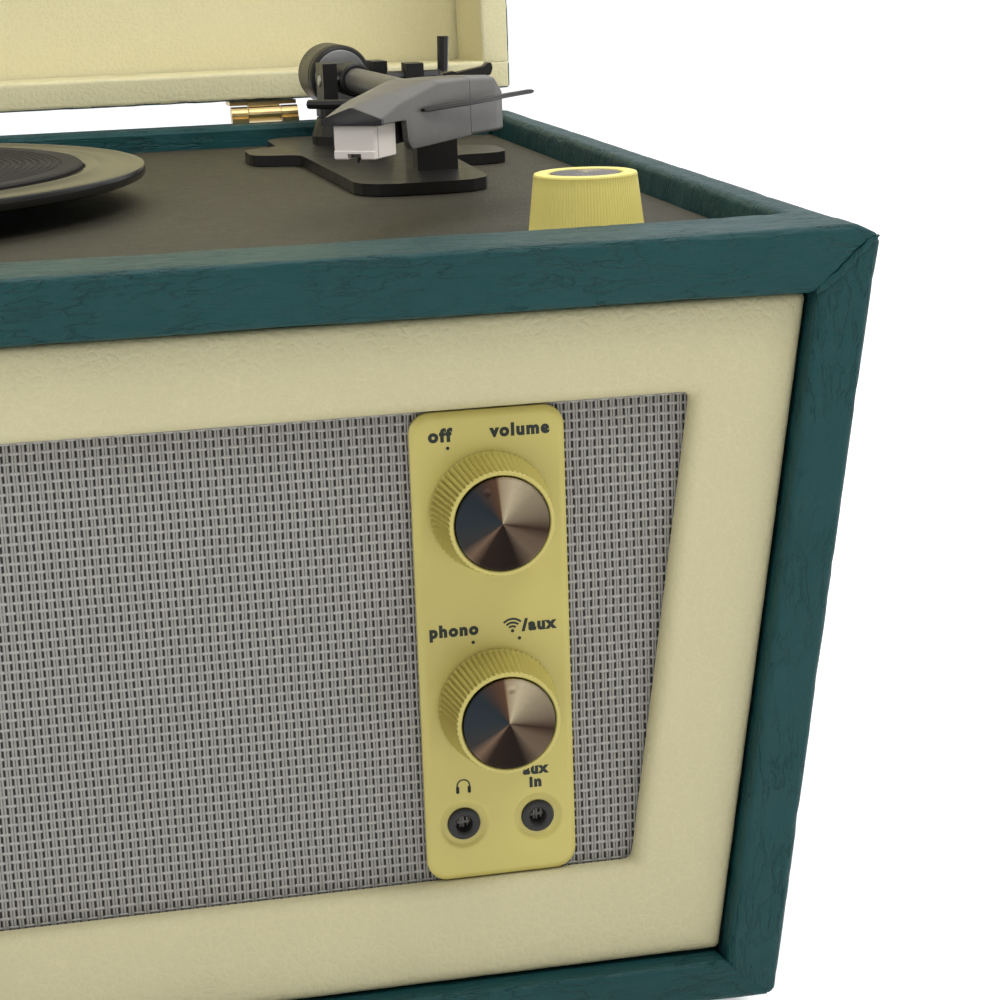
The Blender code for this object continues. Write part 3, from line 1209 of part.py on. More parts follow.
def make_sockets():
    """The connector plate on the back, a twin phono socket and the power inlet."""
    outline = rectangle(SOCKET_PLATE_X, SOCKET_PLATE_Z, SOCKET_PLATE_WIDTH, SOCKET_PLATE_HEIGHT)
    shape = rounded(outline, 3 * MM)
    rca_x = SOCKET_PLATE_X + 18 * MM
    inlet_x = SOCKET_PLATE_X - 22 * MM
    rca = [rca_x - RCA_SPACING / 2, rca_x + RCA_SPACING / 2]
    holes = [circle(x, SOCKET_PLATE_Z, RCA_RADIUS + GAP, 20) for x in rca]
    holes.append(circle(inlet_x, SOCKET_PLATE_Z, INLET_RADIUS + GAP, 24))
    face = BACK + GAP + SOCKET_PLATE_THICKNESS
    middle = face - SOCKET_PLATE_THICKNESS / 2
    plate("socket_plate", [shape, *holes], SOCKET_PLATE_THICKNESS, (0, middle, 0), BLACK_PLASTIC, "front")
    behind = BACK
    body_depth = BACK_THICKNESS * 0.8
    half = RCA_SPACING / 2 + RCA_RADIUS + 1 * MM
    twin = block(
        "rca_sockets",
        (rca_x - half, behind - body_depth, SOCKET_PLATE_Z - 6 * MM),
        (rca_x + half, behind, SOCKET_PLATE_Z + 6 * MM),
        BLACK_PLASTIC,
    )
    for side, x in zip(("left", "right"), rca):
        root = behind - 1 * MM
        tip = face + RCA_LENGTH
        place = (x, (root + tip) / 2, SOCKET_PLATE_Z)
        shell = cylinder(f"rca_shell_{side}", RCA_RADIUS, tip - root, place, None, "Y", sides=16)
        place = (x, tip, SOCKET_PLATE_Z)
        bore = cylinder(f"rca_bore_{side}", RCA_HOLE, 2 * RCA_LENGTH, place, None, "Y", sides=12)
        combine(twin, shell, "UNION")
        combine(twin, bore)
    toward_back = (-pi / 2, 0, 0)
    inlet = [
        (0, -3 * MM),
        (1 * MM, -3 * MM),
        (1 * MM, -9 * MM),
        (INLET_HOLE, -9 * MM),
        (INLET_HOLE, 0.6 * MM),
        (INLET_RADIUS, 0.6 * MM),
        (INLET_RADIUS, -SOCKET_PLATE_THICKNESS - GAP),
        (INLET_RADIUS + 1 * MM, -SOCKET_PLATE_THICKNESS - GAP),
        (INLET_RADIUS + 1 * MM, -11 * MM),
        (0, -11 * MM),
    ]
    turned("power_inlet", inlet, BLACK_PLASTIC, (inlet_x, face, SOCKET_PLATE_Z), toward_back, steps=20)


def main():
    make_case()
    make_front()
    make_controls()
    make_deck()
    make_platter()
    make_arm(make_headshell())
    make_arm_base()
    make_cueing()
    make_arm_clip()
    make_lid()
    make_sockets()


TONEARM = empty("tonearm", (0, 0, 0), CASE)
ARM_FRAME = empty("arm_pivot", (PIVOT_X, PIVOT_Y, ARM_Z), CASE, (0, 0, -ARM_LEAN))
YOKE_FRAME = empty("arm_swing_axis", (PIVOT_X, PIVOT_Y, ARM_Z), CASE, (0, 0, -ARM_LEAN))

main()
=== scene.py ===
import json
from math import cos, pi, radians, sin, tan

import bpy
import numpy as np
from mathutils import Matrix, Vector


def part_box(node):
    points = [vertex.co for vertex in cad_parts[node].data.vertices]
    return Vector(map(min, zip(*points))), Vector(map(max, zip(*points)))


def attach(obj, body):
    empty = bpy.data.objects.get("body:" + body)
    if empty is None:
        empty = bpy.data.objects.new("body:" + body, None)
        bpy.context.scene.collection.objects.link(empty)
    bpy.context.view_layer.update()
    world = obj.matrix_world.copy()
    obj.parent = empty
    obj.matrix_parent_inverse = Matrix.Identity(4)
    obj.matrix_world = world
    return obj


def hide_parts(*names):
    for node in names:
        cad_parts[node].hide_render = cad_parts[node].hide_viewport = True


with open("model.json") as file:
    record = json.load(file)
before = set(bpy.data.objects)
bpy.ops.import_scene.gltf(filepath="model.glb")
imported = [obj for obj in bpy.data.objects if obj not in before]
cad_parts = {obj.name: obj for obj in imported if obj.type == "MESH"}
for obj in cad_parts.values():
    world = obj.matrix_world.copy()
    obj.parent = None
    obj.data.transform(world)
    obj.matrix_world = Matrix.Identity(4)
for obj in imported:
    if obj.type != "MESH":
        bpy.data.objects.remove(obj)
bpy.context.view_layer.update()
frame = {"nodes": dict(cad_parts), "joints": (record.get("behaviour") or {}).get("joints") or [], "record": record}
MM = 0.001

# ---- Sizes read from the frame


def span(node):
    """A node's lowest and highest corners, as arrays."""
    low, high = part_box(node)
    return np.array(low), np.array(high)


def middle(node):
    low, high = span(node)
    return (low + high) / 2


def joint(name):
    return next(j for j in frame["joints"] if j["name"] == name)


RAIL_LOW, RAIL_HIGH = span("front_rail")
SIDE_LOW, SIDE_HIGH = span("right_side_board")
BOTTOM_LOW, BOTTOM_HIGH = span("bottom_board")
TRIM_LOW, TRIM_HIGH = span("trim_frame")
PLATE_LOW, PLATE_HIGH = span("control_plate")
PLATTER_LOW, PLATTER_HIGH = span("platter")
MAT_LOW, MAT_HIGH = span("platter_mat")
DECK_HIGH = span("deck_plate")[1]
RIM = RAIL_HIGH[2]
FRONT = SIDE_LOW[1]
BACK = SIDE_HIGH[1]
SLANT = tan(radians(8.13))  # the sides' lean
BOARD = 13.7 * MM  # a side board's width across
HALF = SIDE_HIGH[0]


def half_width(z):
    """Half the case's outer width at a height."""
    return HALF - (RIM - z) * SLANT


# ---- Noise for the surfaces


def lattice(cells, seed):
    """A repeatable number from 0 to 1 for each whole-numbered cell."""
    mixed = cells[..., 0] * 73856093 ^ cells[..., 1] * 19349663 ^ cells[..., 2] * 83492791 ^ seed * 2654435761
    mixed = (mixed ^ (mixed >> 13)) * 1274126177 & 0x7FFFFFFF
    mixed = (mixed ^ (mixed >> 15)) * 668265263 & 0x7FFFFFFF
    return (mixed & 0xFFFFF) / 0xFFFFF


def noise(points, size, seed=1):
    """Smooth noise from -1 to 1; size is one length or three, in metres."""
    at = points / np.asarray(size, float)
    cell = np.floor(at).astype(np.int64)
    part = at - cell
    part = part * part * (3 - 2 * part)
    total = np.zeros(len(points))
    for corner in np.ndindex(2, 2, 2):
        weight = np.prod(np.where(corner, part, 1 - part), axis=1)
        total += weight * lattice(cell + np.array(corner), seed)
    return 2 * total - 1


def ridges(points, size, seed=1):
    """Narrow valleys, 0 between them and 1 along them."""
    return np.clip(1 - 5 * np.abs(noise(points, size, seed)), 0, 1)


def smoothstep(low, high, value):
    t = np.clip((value - low) / (high - low), 0, 1)
    return t * t * (3 - 2 * t)


# ---- Shading


class Shade:
    """A Principled material with short names for the nodes that its pattern needs."""

    def __init__(self, name, colour, roughness, metallic=0.0, **fixed):
        self.mat = bpy.data.materials.new(name)
        self.mat.use_nodes = True
        self.tree = self.mat.node_tree
        self.shader = self.tree.nodes["Principled BSDF"]
        self.shader.inputs["Base Color"].default_value = (*colour, 1)
        self.shader.inputs["Roughness"].default_value = roughness
        self.shader.inputs["Metallic"].default_value = metallic
        for key, value in fixed.items():
            self.shader.inputs[key.replace("_", " ")].default_value = value
        self.place = self.node("ShaderNodeTexCoord").outputs["Object"]
        self.normal = None

    def node(self, kind, **settings):
        made = self.tree.nodes.new(kind)
        for key, value in settings.items():
            setattr(made, key, value)
        return made

    def put(self, value, socket):
        if isinstance(value, bpy.types.NodeSocket):
            self.tree.links.new(value, socket)
        else:
            socket.default_value = value

    def math(self, operation, first, second=0.0, third=0.0):
        made = self.node("ShaderNodeMath", operation=operation)
        for value, socket in zip((first, second, third), made.inputs):
            self.put(value, socket)
        return made.outputs[0]

    def stretched(self, scale, source=None, turn=(0, 0, 0)):
        made = self.node("ShaderNodeMapping")
        self.put(source or self.place, made.inputs["Vector"])
        made.inputs["Scale"].default_value = scale
        made.inputs["Rotation"].default_value = turn
        return made.outputs[0]

    def warped(self, source, scale, amount):
        """The coordinates with noise added."""
        shift = self.node("ShaderNodeTexNoise")
        self.put(source, shift.inputs["Vector"])
        shift.inputs["Scale"].default_value = scale
        centred = self.node("ShaderNodeVectorMath", operation="SUBTRACT")
        self.put(shift.outputs["Color"], centred.inputs[0])
        centred.inputs[1].default_value = (0.5, 0.5, 0.5)
        added = self.node("ShaderNodeVectorMath", operation="MULTIPLY_ADD")
        self.put(centred.outputs[0], added.inputs[0])
        added.inputs[1].default_value = (amount,) * 3
        self.put(source, added.inputs[2])
        return added.outputs[0]

    def noise(self, scale, detail=3.0, source=None):
        made = self.node("ShaderNodeTexNoise")
        self.put(source or self.place, made.inputs["Vector"])
        made.inputs["Scale"].default_value = scale
        made.inputs["Detail"].default_value = detail
        return made.outputs["Fac"]

    def ring_noise(self, radius):
        """Coordinates that change only with the radius."""
        made = self.node("ShaderNodeCombineXYZ")
        self.put(self.math("MULTIPLY", radius, 6000.0), made.inputs[0])
        return made.outputs[0]

    def cells(self, scale, source=None, feature="DISTANCE_TO_EDGE"):
        made = self.node("ShaderNodeTexVoronoi", feature=feature)
        self.put(source or self.place, made.inputs["Vector"])
        made.inputs["Scale"].default_value = scale
        return made.outputs["Distance"]

    def ramp(self, value, stops):
        made = self.node("ShaderNodeValToRGB")
        self.put(value, made.inputs[0])
        points = made.color_ramp.elements
        while len(points) < len(stops):
            points.new(0.5)
        for point, (place, colour) in zip(points, stops):
            point.position = place
            point.color = (*colour, 1) if isinstance(colour, tuple) else (colour, colour, colour, 1)
        return made.outputs[0]

    def mix(self, factor, first, second):
        made = self.node("ShaderNodeMix", data_type="RGBA")
        self.put(factor, made.inputs[0])
        for value, socket in ((first, made.inputs[6]), (second, made.inputs[7])):
            self.put((*value, 1) if isinstance(value, tuple) else value, socket)
        return made.outputs[2]

    def bump(self, height, distance, strength=1.0):
        made = self.node("ShaderNodeBump")
        made.inputs["Distance"].default_value = distance
        made.inputs["Strength"].default_value = strength
        self.put(height, made.inputs["Height"])
        if self.normal:
            self.put(self.normal, made.inputs["Normal"])
        self.normal = made.outputs[0]
        self.put(self.normal, self.shader.inputs["Normal"])

    def colour(self, value):
        self.put(value, self.shader.inputs["Base Color"])

    def rough(self, low, high, source):
        made = self.node("ShaderNodeMapRange")
        self.put(source, made.inputs["Value"])
        made.inputs["To Min"].default_value = low
        made.inputs["To Max"].default_value = high
        self.put(made.outputs[0], self.shader.inputs["Roughness"])


def linear(red, green, blue):
    """A screen colour from 0 to 255 as the renderer's linear one."""
    values = np.array((red, green, blue)) / 255
    curved = ((values + 0.055) / 1.055) ** 2.4
    return tuple(float(v) for v in np.where(values < 0.04045, values / 12.92, curved))


def scaled(colour, factor):
    return tuple(c * factor for c in colour)


def leatherette(name, colour, stretch):
    """Creased coated cloth, with painted shade along its creases; stretch is the creases' size along each axis, in
    metres.
    """
    made = Shade(name, colour, 0.4, Specular_IOR_Level=0.2)
    drawn = made.stretched([1 / s for s in stretch])
    waves = made.noise(0.75, 3.5, made.warped(drawn, 0.8, 0.9))
    line = made.math("ABSOLUTE", made.math("SUBTRACT", waves, 0.5))
    crease = made.ramp(line, [(0.0, 0.0), (0.035, 0.8), (0.12, 1.0)])
    second = made.noise(1.9, 2.0, made.warped(drawn, 1.7, 0.7))
    crinkle = made.ramp(made.math("ABSOLUTE", made.math("SUBTRACT", second, 0.5)), [(0.0, 0.0), (0.05, 1.0)])
    amount = made.ramp(made.noise(55.0, 2.0), [(0.4, 0.15), (0.6, 1.0)])
    pores = made.cells(2300.0, made.warped(made.place, 700.0, 0.0008))
    tint = made.noise(30.0, 5.0)
    shade = made.mix(tint, scaled(colour, 0.84), scaled(colour, 1.18))
    # painted shade: the colour is darkened along the creases, where shade falls in them
    painted_crease_shade = made.math("MULTIPLY", made.math("SUBTRACT", 1.0, crease), made.math("MULTIPLY", amount, 0.35))
    made.colour(made.mix(painted_crease_shade, shade, scaled(colour, 0.55)))
    made.rough(0.34, 0.5, made.noise(240.0, 4.0))
    made.bump(made.math("MULTIPLY", crease, amount), 0.0008, 0.6)
    made.bump(made.math("MULTIPLY", crinkle, amount), 0.0003, 0.35)
    made.bump(pores, 0.00022, 0.5)
    return made.mat


TEAL = (0.0075, 0.051, 0.053)
CREAM = linear(190, 183, 146)
PLATE_COLOUR = linear(186, 174, 98)

TEAL_ALONG_X = leatherette("teal_creased_along_x", TEAL, (0.009, 0.0024, 0.0022))
TEAL_ALONG_Y = leatherette("teal_creased_along_y", TEAL, (0.0028, 0.008, 0.0028))
TEAL_ALONG_Z = leatherette("teal_creased_along_z", TEAL, (0.0023, 0.0026, 0.008))


def vinyl(name="cream_vinyl", colour=CREAM):
    """Cream vinyl with a soft grain whose veins are lighter."""
    made = Shade(name, colour, 0.5, Specular_IOR_Level=0.25)
    spread = made.warped(made.place, 220.0, 0.0022)
    coarse, fine = made.cells(420.0, spread), made.cells(1000.0, spread)
    shade = made.mix(made.noise(24.0, 3.0), scaled(colour, 0.94), scaled(colour, 1.04))
    vein = made.ramp(coarse, [(0.0, 1.0), (0.07, 0.0)])
    thin = made.math("MULTIPLY", made.ramp(fine, [(0.0, 1.0), (0.1, 0.0)]), 0.4)
    veins = made.math("MULTIPLY", made.math("MAXIMUM", vein, thin), made.noise(90.0, 2.0))
    made.colour(made.mix(made.math("MULTIPLY", veins, 0.8), shade, scaled(colour, 1.14)))
    made.rough(0.44, 0.58, made.noise(300.0, 3.0))
    made.bump(made.ramp(coarse, [(0.0, 0.0), (0.3, 1.0)]), 0.0003, 0.25)
    made.bump(made.ramp(fine, [(0.0, 0.0), (0.4, 1.0)]), 0.00015, 0.25)
    made.bump(made.noise(2200.0, 2.0), 0.0001, 0.4)
    return made.mat


def plastic(name, colour, roughness, grain=0.35, coat=0.0):
    """Moulded plastic with a fine eroded grain and soft handling wear."""
    made = Shade(name, colour, roughness, Specular_IOR_Level=0.3, Coat_Weight=coat, Coat_Roughness=0.12)
    tint = made.noise(60.0, 3.0)
    made.colour(made.mix(tint, scaled(colour, 0.93), scaled(colour, 1.07)))
    made.rough(max(0.05, roughness - 0.06), roughness + 0.08, made.noise(180.0, 4.0))
    made.bump(made.noise(1600.0, 2.0), 0.00012, grain)
    made.bump(made.noise(70.0, 2.0), 0.0006, 0.08)
    return made.mat


def metal(name, colour, roughness, stretch, scratch=0.35):
    """Worked metal; stretch gives the direction of its fine lines."""
    made = Shade(name, colour, roughness, 1.0)
    lines = made.noise(1.0, 3.0, made.stretched([1 / s for s in stretch]))
    tint = made.noise(50.0, 3.0)
    made.colour(made.mix(tint, scaled(colour, 0.88), scaled(colour, 1.08)))
    made.rough(max(0.06, roughness - 0.08), roughness + 0.12, lines)
    made.bump(lines, 0.00008, scratch)
    return made.mat


def fibreboard():
    colour = linear(150, 112, 74)
    made = Shade("fibreboard", colour, 0.85)
    flecks = made.noise(420.0, 5.0)
    made.colour(made.mix(flecks, scaled(colour, 0.6), scaled(colour, 1.35)))
    made.bump(flecks, 0.0004, 0.6)
    made.rough(0.78, 0.92, made.noise(90.0, 2.0))
    return made.mat


def deck_paint():
    colour = linear(64, 61, 49)
    made = Shade("deck_paint", colour, 0.55, Specular_IOR_Level=0.2)
    pebbles = made.cells(900.0, made.warped(made.place, 500.0, 0.0008))
    made.colour(made.mix(made.noise(45.0, 3.0), scaled(colour, 0.85), scaled(colour, 1.12)))
    made.rough(0.5, 0.64, made.noise(200.0, 3.0))
    made.bump(made.ramp(pebbles, [(0.0, 0.0), (0.4, 1.0)]), 0.0003, 0.6)
    return made.mat


def circuit():
    colour = linear(28, 96, 52)
    made = Shade("circuit_board", colour, 0.4)
    tracks = made.ramp(made.cells(160.0), [(0.03, 1.0), (0.06, 0.0)])
    made.colour(made.mix(tracks, colour, linear(74, 150, 84)))
    made.rough(0.35, 0.5, made.noise(80.0, 2.0))
    made.bump(tracks, 0.0002, 0.5)
    return made.mat


def rings(name, colour, roughness, pitch, depth, centre, axis, metallic=0.0, anisotropic=0.0, fan=()):
    """A turned face with rings about the "Y" or "Z" axis. A fan is a list of (angle, colour) for a painted reflection
    round the axis.
    """
    made = Shade(name, colour, roughness, metallic, Anisotropic=anisotropic)
    offset = made.node("ShaderNodeVectorMath", operation="SUBTRACT")
    made.put(made.place, offset.inputs[0])
    offset.inputs[1].default_value = centre
    flat = made.node("ShaderNodeVectorMath", operation="MULTIPLY")
    made.put(offset.outputs[0], flat.inputs[0])
    flat.inputs[1].default_value = (1, 1, 0) if axis == "Z" else (1, 0, 1)
    length = made.node("ShaderNodeVectorMath", operation="LENGTH")
    made.put(flat.outputs[0], length.inputs[0])
    radius = length.outputs["Value"]
    wave = made.math("SINE", made.math("MULTIPLY", radius, 2 * pi / pitch))
    jitter = made.noise(1.0, 4.0, made.ring_noise(radius))
    made.colour(made.mix(jitter, scaled(colour, 0.8), scaled(colour, 1.2)))
    # painted reflection: the fan's colours take the place of the base colour round the axis
    if fan:
        share = made.math("MULTIPLY", jitter, 0.35)
        made.colour(made.mix(share, painted_reflection_fan(made, flat.outputs[0], axis, fan), scaled(colour, 0.5)))
    made.rough(max(0.05, roughness - 0.08), roughness + 0.1, jitter)
    made.bump(made.math("ADD", wave, jitter), depth, 0.6)
    if anisotropic:
        around = made.node("ShaderNodeTangent", direction_type="RADIAL", axis=axis)
        made.put(around.outputs[0], made.shader.inputs["Tangent"])
    return made.mat


def painted_reflection_fan(made, vector, axis, stops):
    """Painted reflection: colours that change with the angle round the axis, standing in for the light a turned face
    reflects.
    """
    split = made.node("ShaderNodeSeparateXYZ")
    made.put(vector, split.inputs[0])
    upright = split.outputs["Y" if axis == "Z" else "Z"]
    angle = made.node("ShaderNodeMath", operation="ARCTAN2")
    made.put(upright, angle.inputs[0])
    made.put(split.outputs["X"], angle.inputs[1])
    share = made.math("ADD", made.math("MULTIPLY", angle.outputs[0], 1 / (2 * pi)), 0.5)
    ramp = made.node("ShaderNodeValToRGB")
    made.put(share, ramp.inputs[0])
    points = ramp.color_ramp.elements
    while len(points) < len(stops):
        points.new(0.5)
    for point, (degrees_round, colour) in zip(points, stops):
        point.position = degrees_round / 360 + 0.5
        point.color = (*colour, 1)
    return ramp.outputs["Color"]


# ---- Meshes


def fan_volume(points, face):
    """Six times the volume between a face and the origin."""
    first = points[face[0]]
    return sum(first @ np.cross(points[face[k]], points[face[k + 1]]) for k in range(1, len(face) - 1))


def piece(name, points, faces, body, shade, slot=None, replaces=(), sharp=35, solid=True):
    """A mesh piece that rides on a body, with its sharper edges crisp. A solid's faces are turned outwards."""
    points = np.asarray(points, float)
    centred = points - points.mean(0)
    if solid and sum(fan_volume(centred, face) for face in faces) < 0:
        faces = [face[::-1] for face in faces]
    mesh = bpy.data.meshes.new(name)
    mesh.from_pydata([tuple(p) for p in np.asarray(points, float).tolist()], [], [tuple(f) for f in faces])
    mesh.validate()
    mesh.update()
    mesh.shade_smooth()
    mesh.set_sharp_from_angle(angle=radians(sharp))
    mesh.materials.append(shade)
    made = bpy.data.objects.new(name, mesh)
    bpy.context.scene.collection.objects.link(made)
    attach(made, body)
    if replaces:
        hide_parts(*replaces)
    return made


def strip_faces(rows, columns, closed_rows=False, closed_columns=False, start=0):
    """Quads over a grid of points."""
    found = []
    for i in range(rows if closed_rows else rows - 1):
        for j in range(columns if closed_columns else columns - 1):
            a, b = i * columns + j, i * columns + (j + 1) % columns
            k = (i + 1) % rows
            c, d = k * columns + (j + 1) % columns, k * columns + j
            found.append((start + a, start + b, start + c, start + d))
    return found


def turned(name, profile, matrix, body, shade, steps=96, shape=None, closed=False, **more):
    """A profile of (radius, height) turned round the matrix's Z axis, top to bottom on its outer side.
    shape(angle, radius, height) may return a changed radius and height."""
    angles = np.arange(steps) * 2 * pi / steps
    rows = []
    for radius, height in profile:
        r, h = np.full(steps, float(radius)), np.full(steps, float(height))
        if shape:
            r, h = shape(angles, r, h)
        rows.append(np.stack([r * np.cos(angles), r * np.sin(angles), h], 1))
    points = np.concatenate(rows)
    count = len(profile)
    faces = [f[::-1] for f in strip_faces(count, steps, closed_rows=closed, closed_columns=True)]
    ends = []
    for row, flip in ((0, False), (count - 1, True)):
        if profile[row][0] < 1e-7:
            ends.append((row, flip))
    kept = np.ones(len(points), bool)
    index = np.arange(len(points))
    for row, _ in ends:
        index[row * steps : (row + 1) * steps] = row * steps
        kept[row * steps + 1 : (row + 1) * steps] = False
    order = np.cumsum(kept) - 1
    faces = [tuple(dict.fromkeys(int(order[index[v]]) for v in f)) for f in faces]
    points = points[kept]
    matrix = np.array(matrix)
    points = points @ matrix[:3, :3].T + matrix[:3, 3]
    return piece(name, points, [f for f in faces if len(f) > 2], body, shade, **more)


def at(place, z_axis=(0, 0, 1), x_axis=None):
    """A matrix at a place whose Z axis points along z_axis."""
    z = Vector(z_axis).normalized()
    x = Vector(x_axis) if x_axis is not None else (Vector((1, 0, 0)) if abs(z.x) < 0.9 else Vector((0, 1, 0)))
    x = (x - z * x.dot(z)).normalized()
    y = z.cross(x)
    return Matrix.Translation(Vector(place)) @ Matrix((x, y, z)).transposed().to_4x4()


def tube(name, path, radii, body, shade, sides=20, **more):
    """A rod with flat ends along a path of points."""
    path = np.asarray(path, float)
    radii = np.broadcast_to(np.asarray(radii, float), len(path)).copy()
    ends = [path[0], path[-1]]
    along = np.gradient(path, axis=0)
    along /= np.linalg.norm(along, axis=1)[:, None]
    side = np.cross(along[0], (0, 0, 1) if abs(along[0][2]) < 0.9 else (1, 0, 0))
    rows = []
    for place, forward, radius in zip(path, along, radii):
        side = side - forward * (side @ forward)
        side /= np.linalg.norm(side)
        up = np.cross(forward, side)
        angles = np.arange(sides) * 2 * pi / sides
        rows.append(place + radius * (np.cos(angles)[:, None] * side + np.sin(angles)[:, None] * up))
    points = np.concatenate(rows + [ends])
    faces = strip_faces(len(path), sides, closed_columns=True)
    first, last = len(points) - 2, len(points) - 1
    base = (len(path) - 1) * sides
    faces += [(first, (j + 1) % sides, j) for j in range(sides)]
    faces += [(last, base + j, base + (j + 1) % sides) for j in range(sides)]
    return piece(name, points, faces, body, shade, **more)


def steps_between(low, high, cell, radius):
    """Grid lines from low to high, closer together where the edges are rounded."""
    inner = np.linspace(low + radius, high - radius, max(2, round((high - low - 2 * radius) / cell) + 1))
    curve = radius * np.array([0, 0.12, 0.3, 0.5, 0.75])
    return np.concatenate([low + curve, inner, high - curve[::-1]])


def board(name, low, high, radius, cells, body, shade, warp=None, relief=None, lining=None, **more):
    """A block with rounded edges: relief(points, normals) moves its surface out or in, then warp moves all of it.
    lining is another finish and a test on face centres and normals for where it goes."""
    low, high = np.asarray(low, float), np.asarray(high, float)
    lines = [steps_between(low[i], high[i], cells[i], radius) for i in range(3)]
    all_points, faces, start = [], [], 0
    for axis in range(3):
        first, second = [i for i in range(3) if i != axis]
        for side in (0, 1):
            a, b = np.meshgrid(lines[first], lines[second], indexing="ij")
            points = np.zeros((a.size, 3))
            points[:, first], points[:, second] = a.ravel(), b.ravel()
            points[:, axis] = (low, high)[side][axis]
            quads = strip_faces(*a.shape, start=start)
            if (side == 0) == (axis != 1):
                quads = [q[::-1] for q in quads]
            all_points.append(points)
            faces += quads
            start += len(points)
    points = np.concatenate(all_points)
    core = np.clip(points, low + radius, high - radius)
    away = points - core
    away /= np.linalg.norm(away, axis=1)[:, None]
    height = relief(points, away) if relief else 0
    points = core + away * (radius + np.reshape(height, (-1, 1)))
    rounded_points = np.round(points * 1e7).astype(np.int64)
    _, first_of, index = np.unique(rounded_points, axis=0, return_index=True, return_inverse=True)
    points = points[first_of]
    index = index.reshape(-1)
    faces = [tuple(int(index[v]) for v in f) for f in faces]
    if warp:
        points = warp(points)
    made = piece(name, points, faces, body, shade, **more)
    if lining:
        finish, test = lining
        made.data.materials.append(finish)
        for face in made.data.polygons:
            if test(face.center, face.normal):
                face.material_index = 1
    return made


# ---- Camera, floor and light


def make_camera():
    yaw, pitch, roll = radians(-11.66), radians(13.86), radians(2.01)
    right = Vector((cos(yaw), sin(yaw), 0))
    forward = Vector((-sin(yaw) * cos(pitch), cos(yaw) * cos(pitch), -sin(pitch)))
    down = forward.cross(right)
    across = right * cos(roll) + down * sin(roll)
    below = down * cos(roll) - right * sin(roll)
    camera = bpy.data.cameras.new("view")
    camera.lens = 84.76
    camera.sensor_width = 36
    camera.clip_start = 0.01
    made = bpy.data.objects.new("view", camera)
    bpy.context.scene.collection.objects.link(made)
    turn = Matrix((across, -below, -forward)).transposed().to_4x4()
    made.matrix_world = Matrix.Translation((0.0228, -0.7322, 0.2673)) @ turn
    bpy.context.scene.camera = made


def area_light(name, place, aim, size, power, spread=pi):
    light = bpy.data.lights.new(name, "AREA")
    light.shape = "RECTANGLE"
    light.size, light.size_y = size
    light.energy = power
    light.spread = spread
    made = bpy.data.objects.new(name, light)
    bpy.context.scene.collection.objects.link(made)
    made.location = place
    made.rotation_euler = (Vector(aim) - Vector(place)).to_track_quat("-Z", "Y").to_euler()


def make_studio():
    world = bpy.data.worlds.new("studio")
    world.use_nodes = True
    tree = world.node_tree
    background = tree.nodes["Background"]
    axes = tree.nodes.new("ShaderNodeSeparateXYZ")
    tree.links.new(tree.nodes.new("ShaderNodeTexCoord").outputs["Generated"], axes.inputs[0])
    room = tree.nodes.new("ShaderNodeMapRange")  # darker towards the front, as in a studio lit from above
    tree.links.new(axes.outputs["Y"], room.inputs["Value"])
    for key, value in (("From Min", -0.9), ("From Max", 0.1), ("To Min", 0.3), ("To Max", 0.85)):
        room.inputs[key].default_value = value
    tree.links.new(room.outputs[0], background.inputs["Strength"])
    background.inputs["Color"].default_value = (1.0, 1.0, 1.0, 1)
    bpy.context.scene.world = world
    bpy.context.scene.view_settings.view_transform = "Standard"
    area_light("key", (0.9, -0.9, 1.9), (0, 0, 0.15), (0.9, 0.9), 20)
    area_light("fill", (-1.6, -1.2, 1.0), (0, 0, 0.15), (0.5, 1.2), 5)
    area_light("lid", (0.1, -0.75, 1.0), (0.05, 0.2, 0.42), (0.5, 0.5), 0.38, spread=radians(38))
    area_light("top", (0, 0.6, 2.2), (0, 0, 0.2), (1.8, 1.2), 18)
    shade = Shade("floor", (0.9, 0.9, 0.9), 0.7, Emission_Color=(1, 1, 1, 1), Emission_Strength=0.35)
    shade.rough(0.55, 0.7, shade.noise(8.0, 3.0))
    size, cells = 20.0, 40
    lines = np.linspace(-size, size, cells + 1)
    a, b = np.meshgrid(lines, lines, indexing="ij")
    points = np.stack([a.ravel(), b.ravel(), np.zeros(a.size)], 1)
    mesh = bpy.data.meshes.new("floor")
    mesh.from_pydata(points.tolist(), [], strip_faces(*a.shape))
    mesh.materials.append(shade.mat)
    floor = bpy.data.objects.new("floor", mesh)
    bpy.context.scene.collection.objects.link(floor)


make_camera()
make_studio()

# ---- Finishes for the nodes that keep their own shape

FINISHES = {
    "black_plastic": plastic("black_plastic", linear(30, 29, 28), 0.38, coat=0.1),
    "grey_plastic": plastic("satin_grey", linear(98, 96, 92), 0.36),
    "cream_plastic": plastic("cream_plastic", PLATE_COLOUR, 0.34, 0.2, 0.15),
    "white_plastic": plastic("white_plastic", linear(238, 230, 222), 0.4),
    "steel": metal("steel", (0.56, 0.56, 0.55), 0.3, (0.0004, 0.0004, 0.01)),
    "brass": metal("brass", linear(196, 172, 120), 0.3, (0.01, 0.0004, 0.0004)),
    "smoked_metal": metal("smoked_metal", linear(120, 104, 84), 0.3, (0.001, 0.001, 0.001)),
    "rubber": plastic("rubber", linear(38, 36, 34), 0.75, 0.6),
    "fibreboard": fibreboard(),
    "deck_black": deck_paint(),
    "circuit_board": circuit(),
    "speaker_paper": plastic("speaker_paper", linear(40, 39, 38), 0.8, 0.7),
    "teal_leatherette": TEAL_ALONG_X,
    "cream_leatherette": vinyl(),
    "grille_cloth": plastic("cloth_stand_in", linear(120, 118, 112), 0.9),
}
ALONG = {
    "left_side_board": TEAL_ALONG_Y,
    "right_side_board": TEAL_ALONG_Y,
    "lid_left_wall": TEAL_ALONG_Z,
    "lid_right_wall": TEAL_ALONG_Z,
}
SLOTS = {part["node"]: part["material_slot"] for part in frame["record"]["subparts"]}
for node_name, node in frame["nodes"].items():
    node.data.materials.clear()
    node.data.materials.append(ALONG.get(node_name, FINISHES[SLOTS[node_name]]))

# ---- Leatherette boards of the case


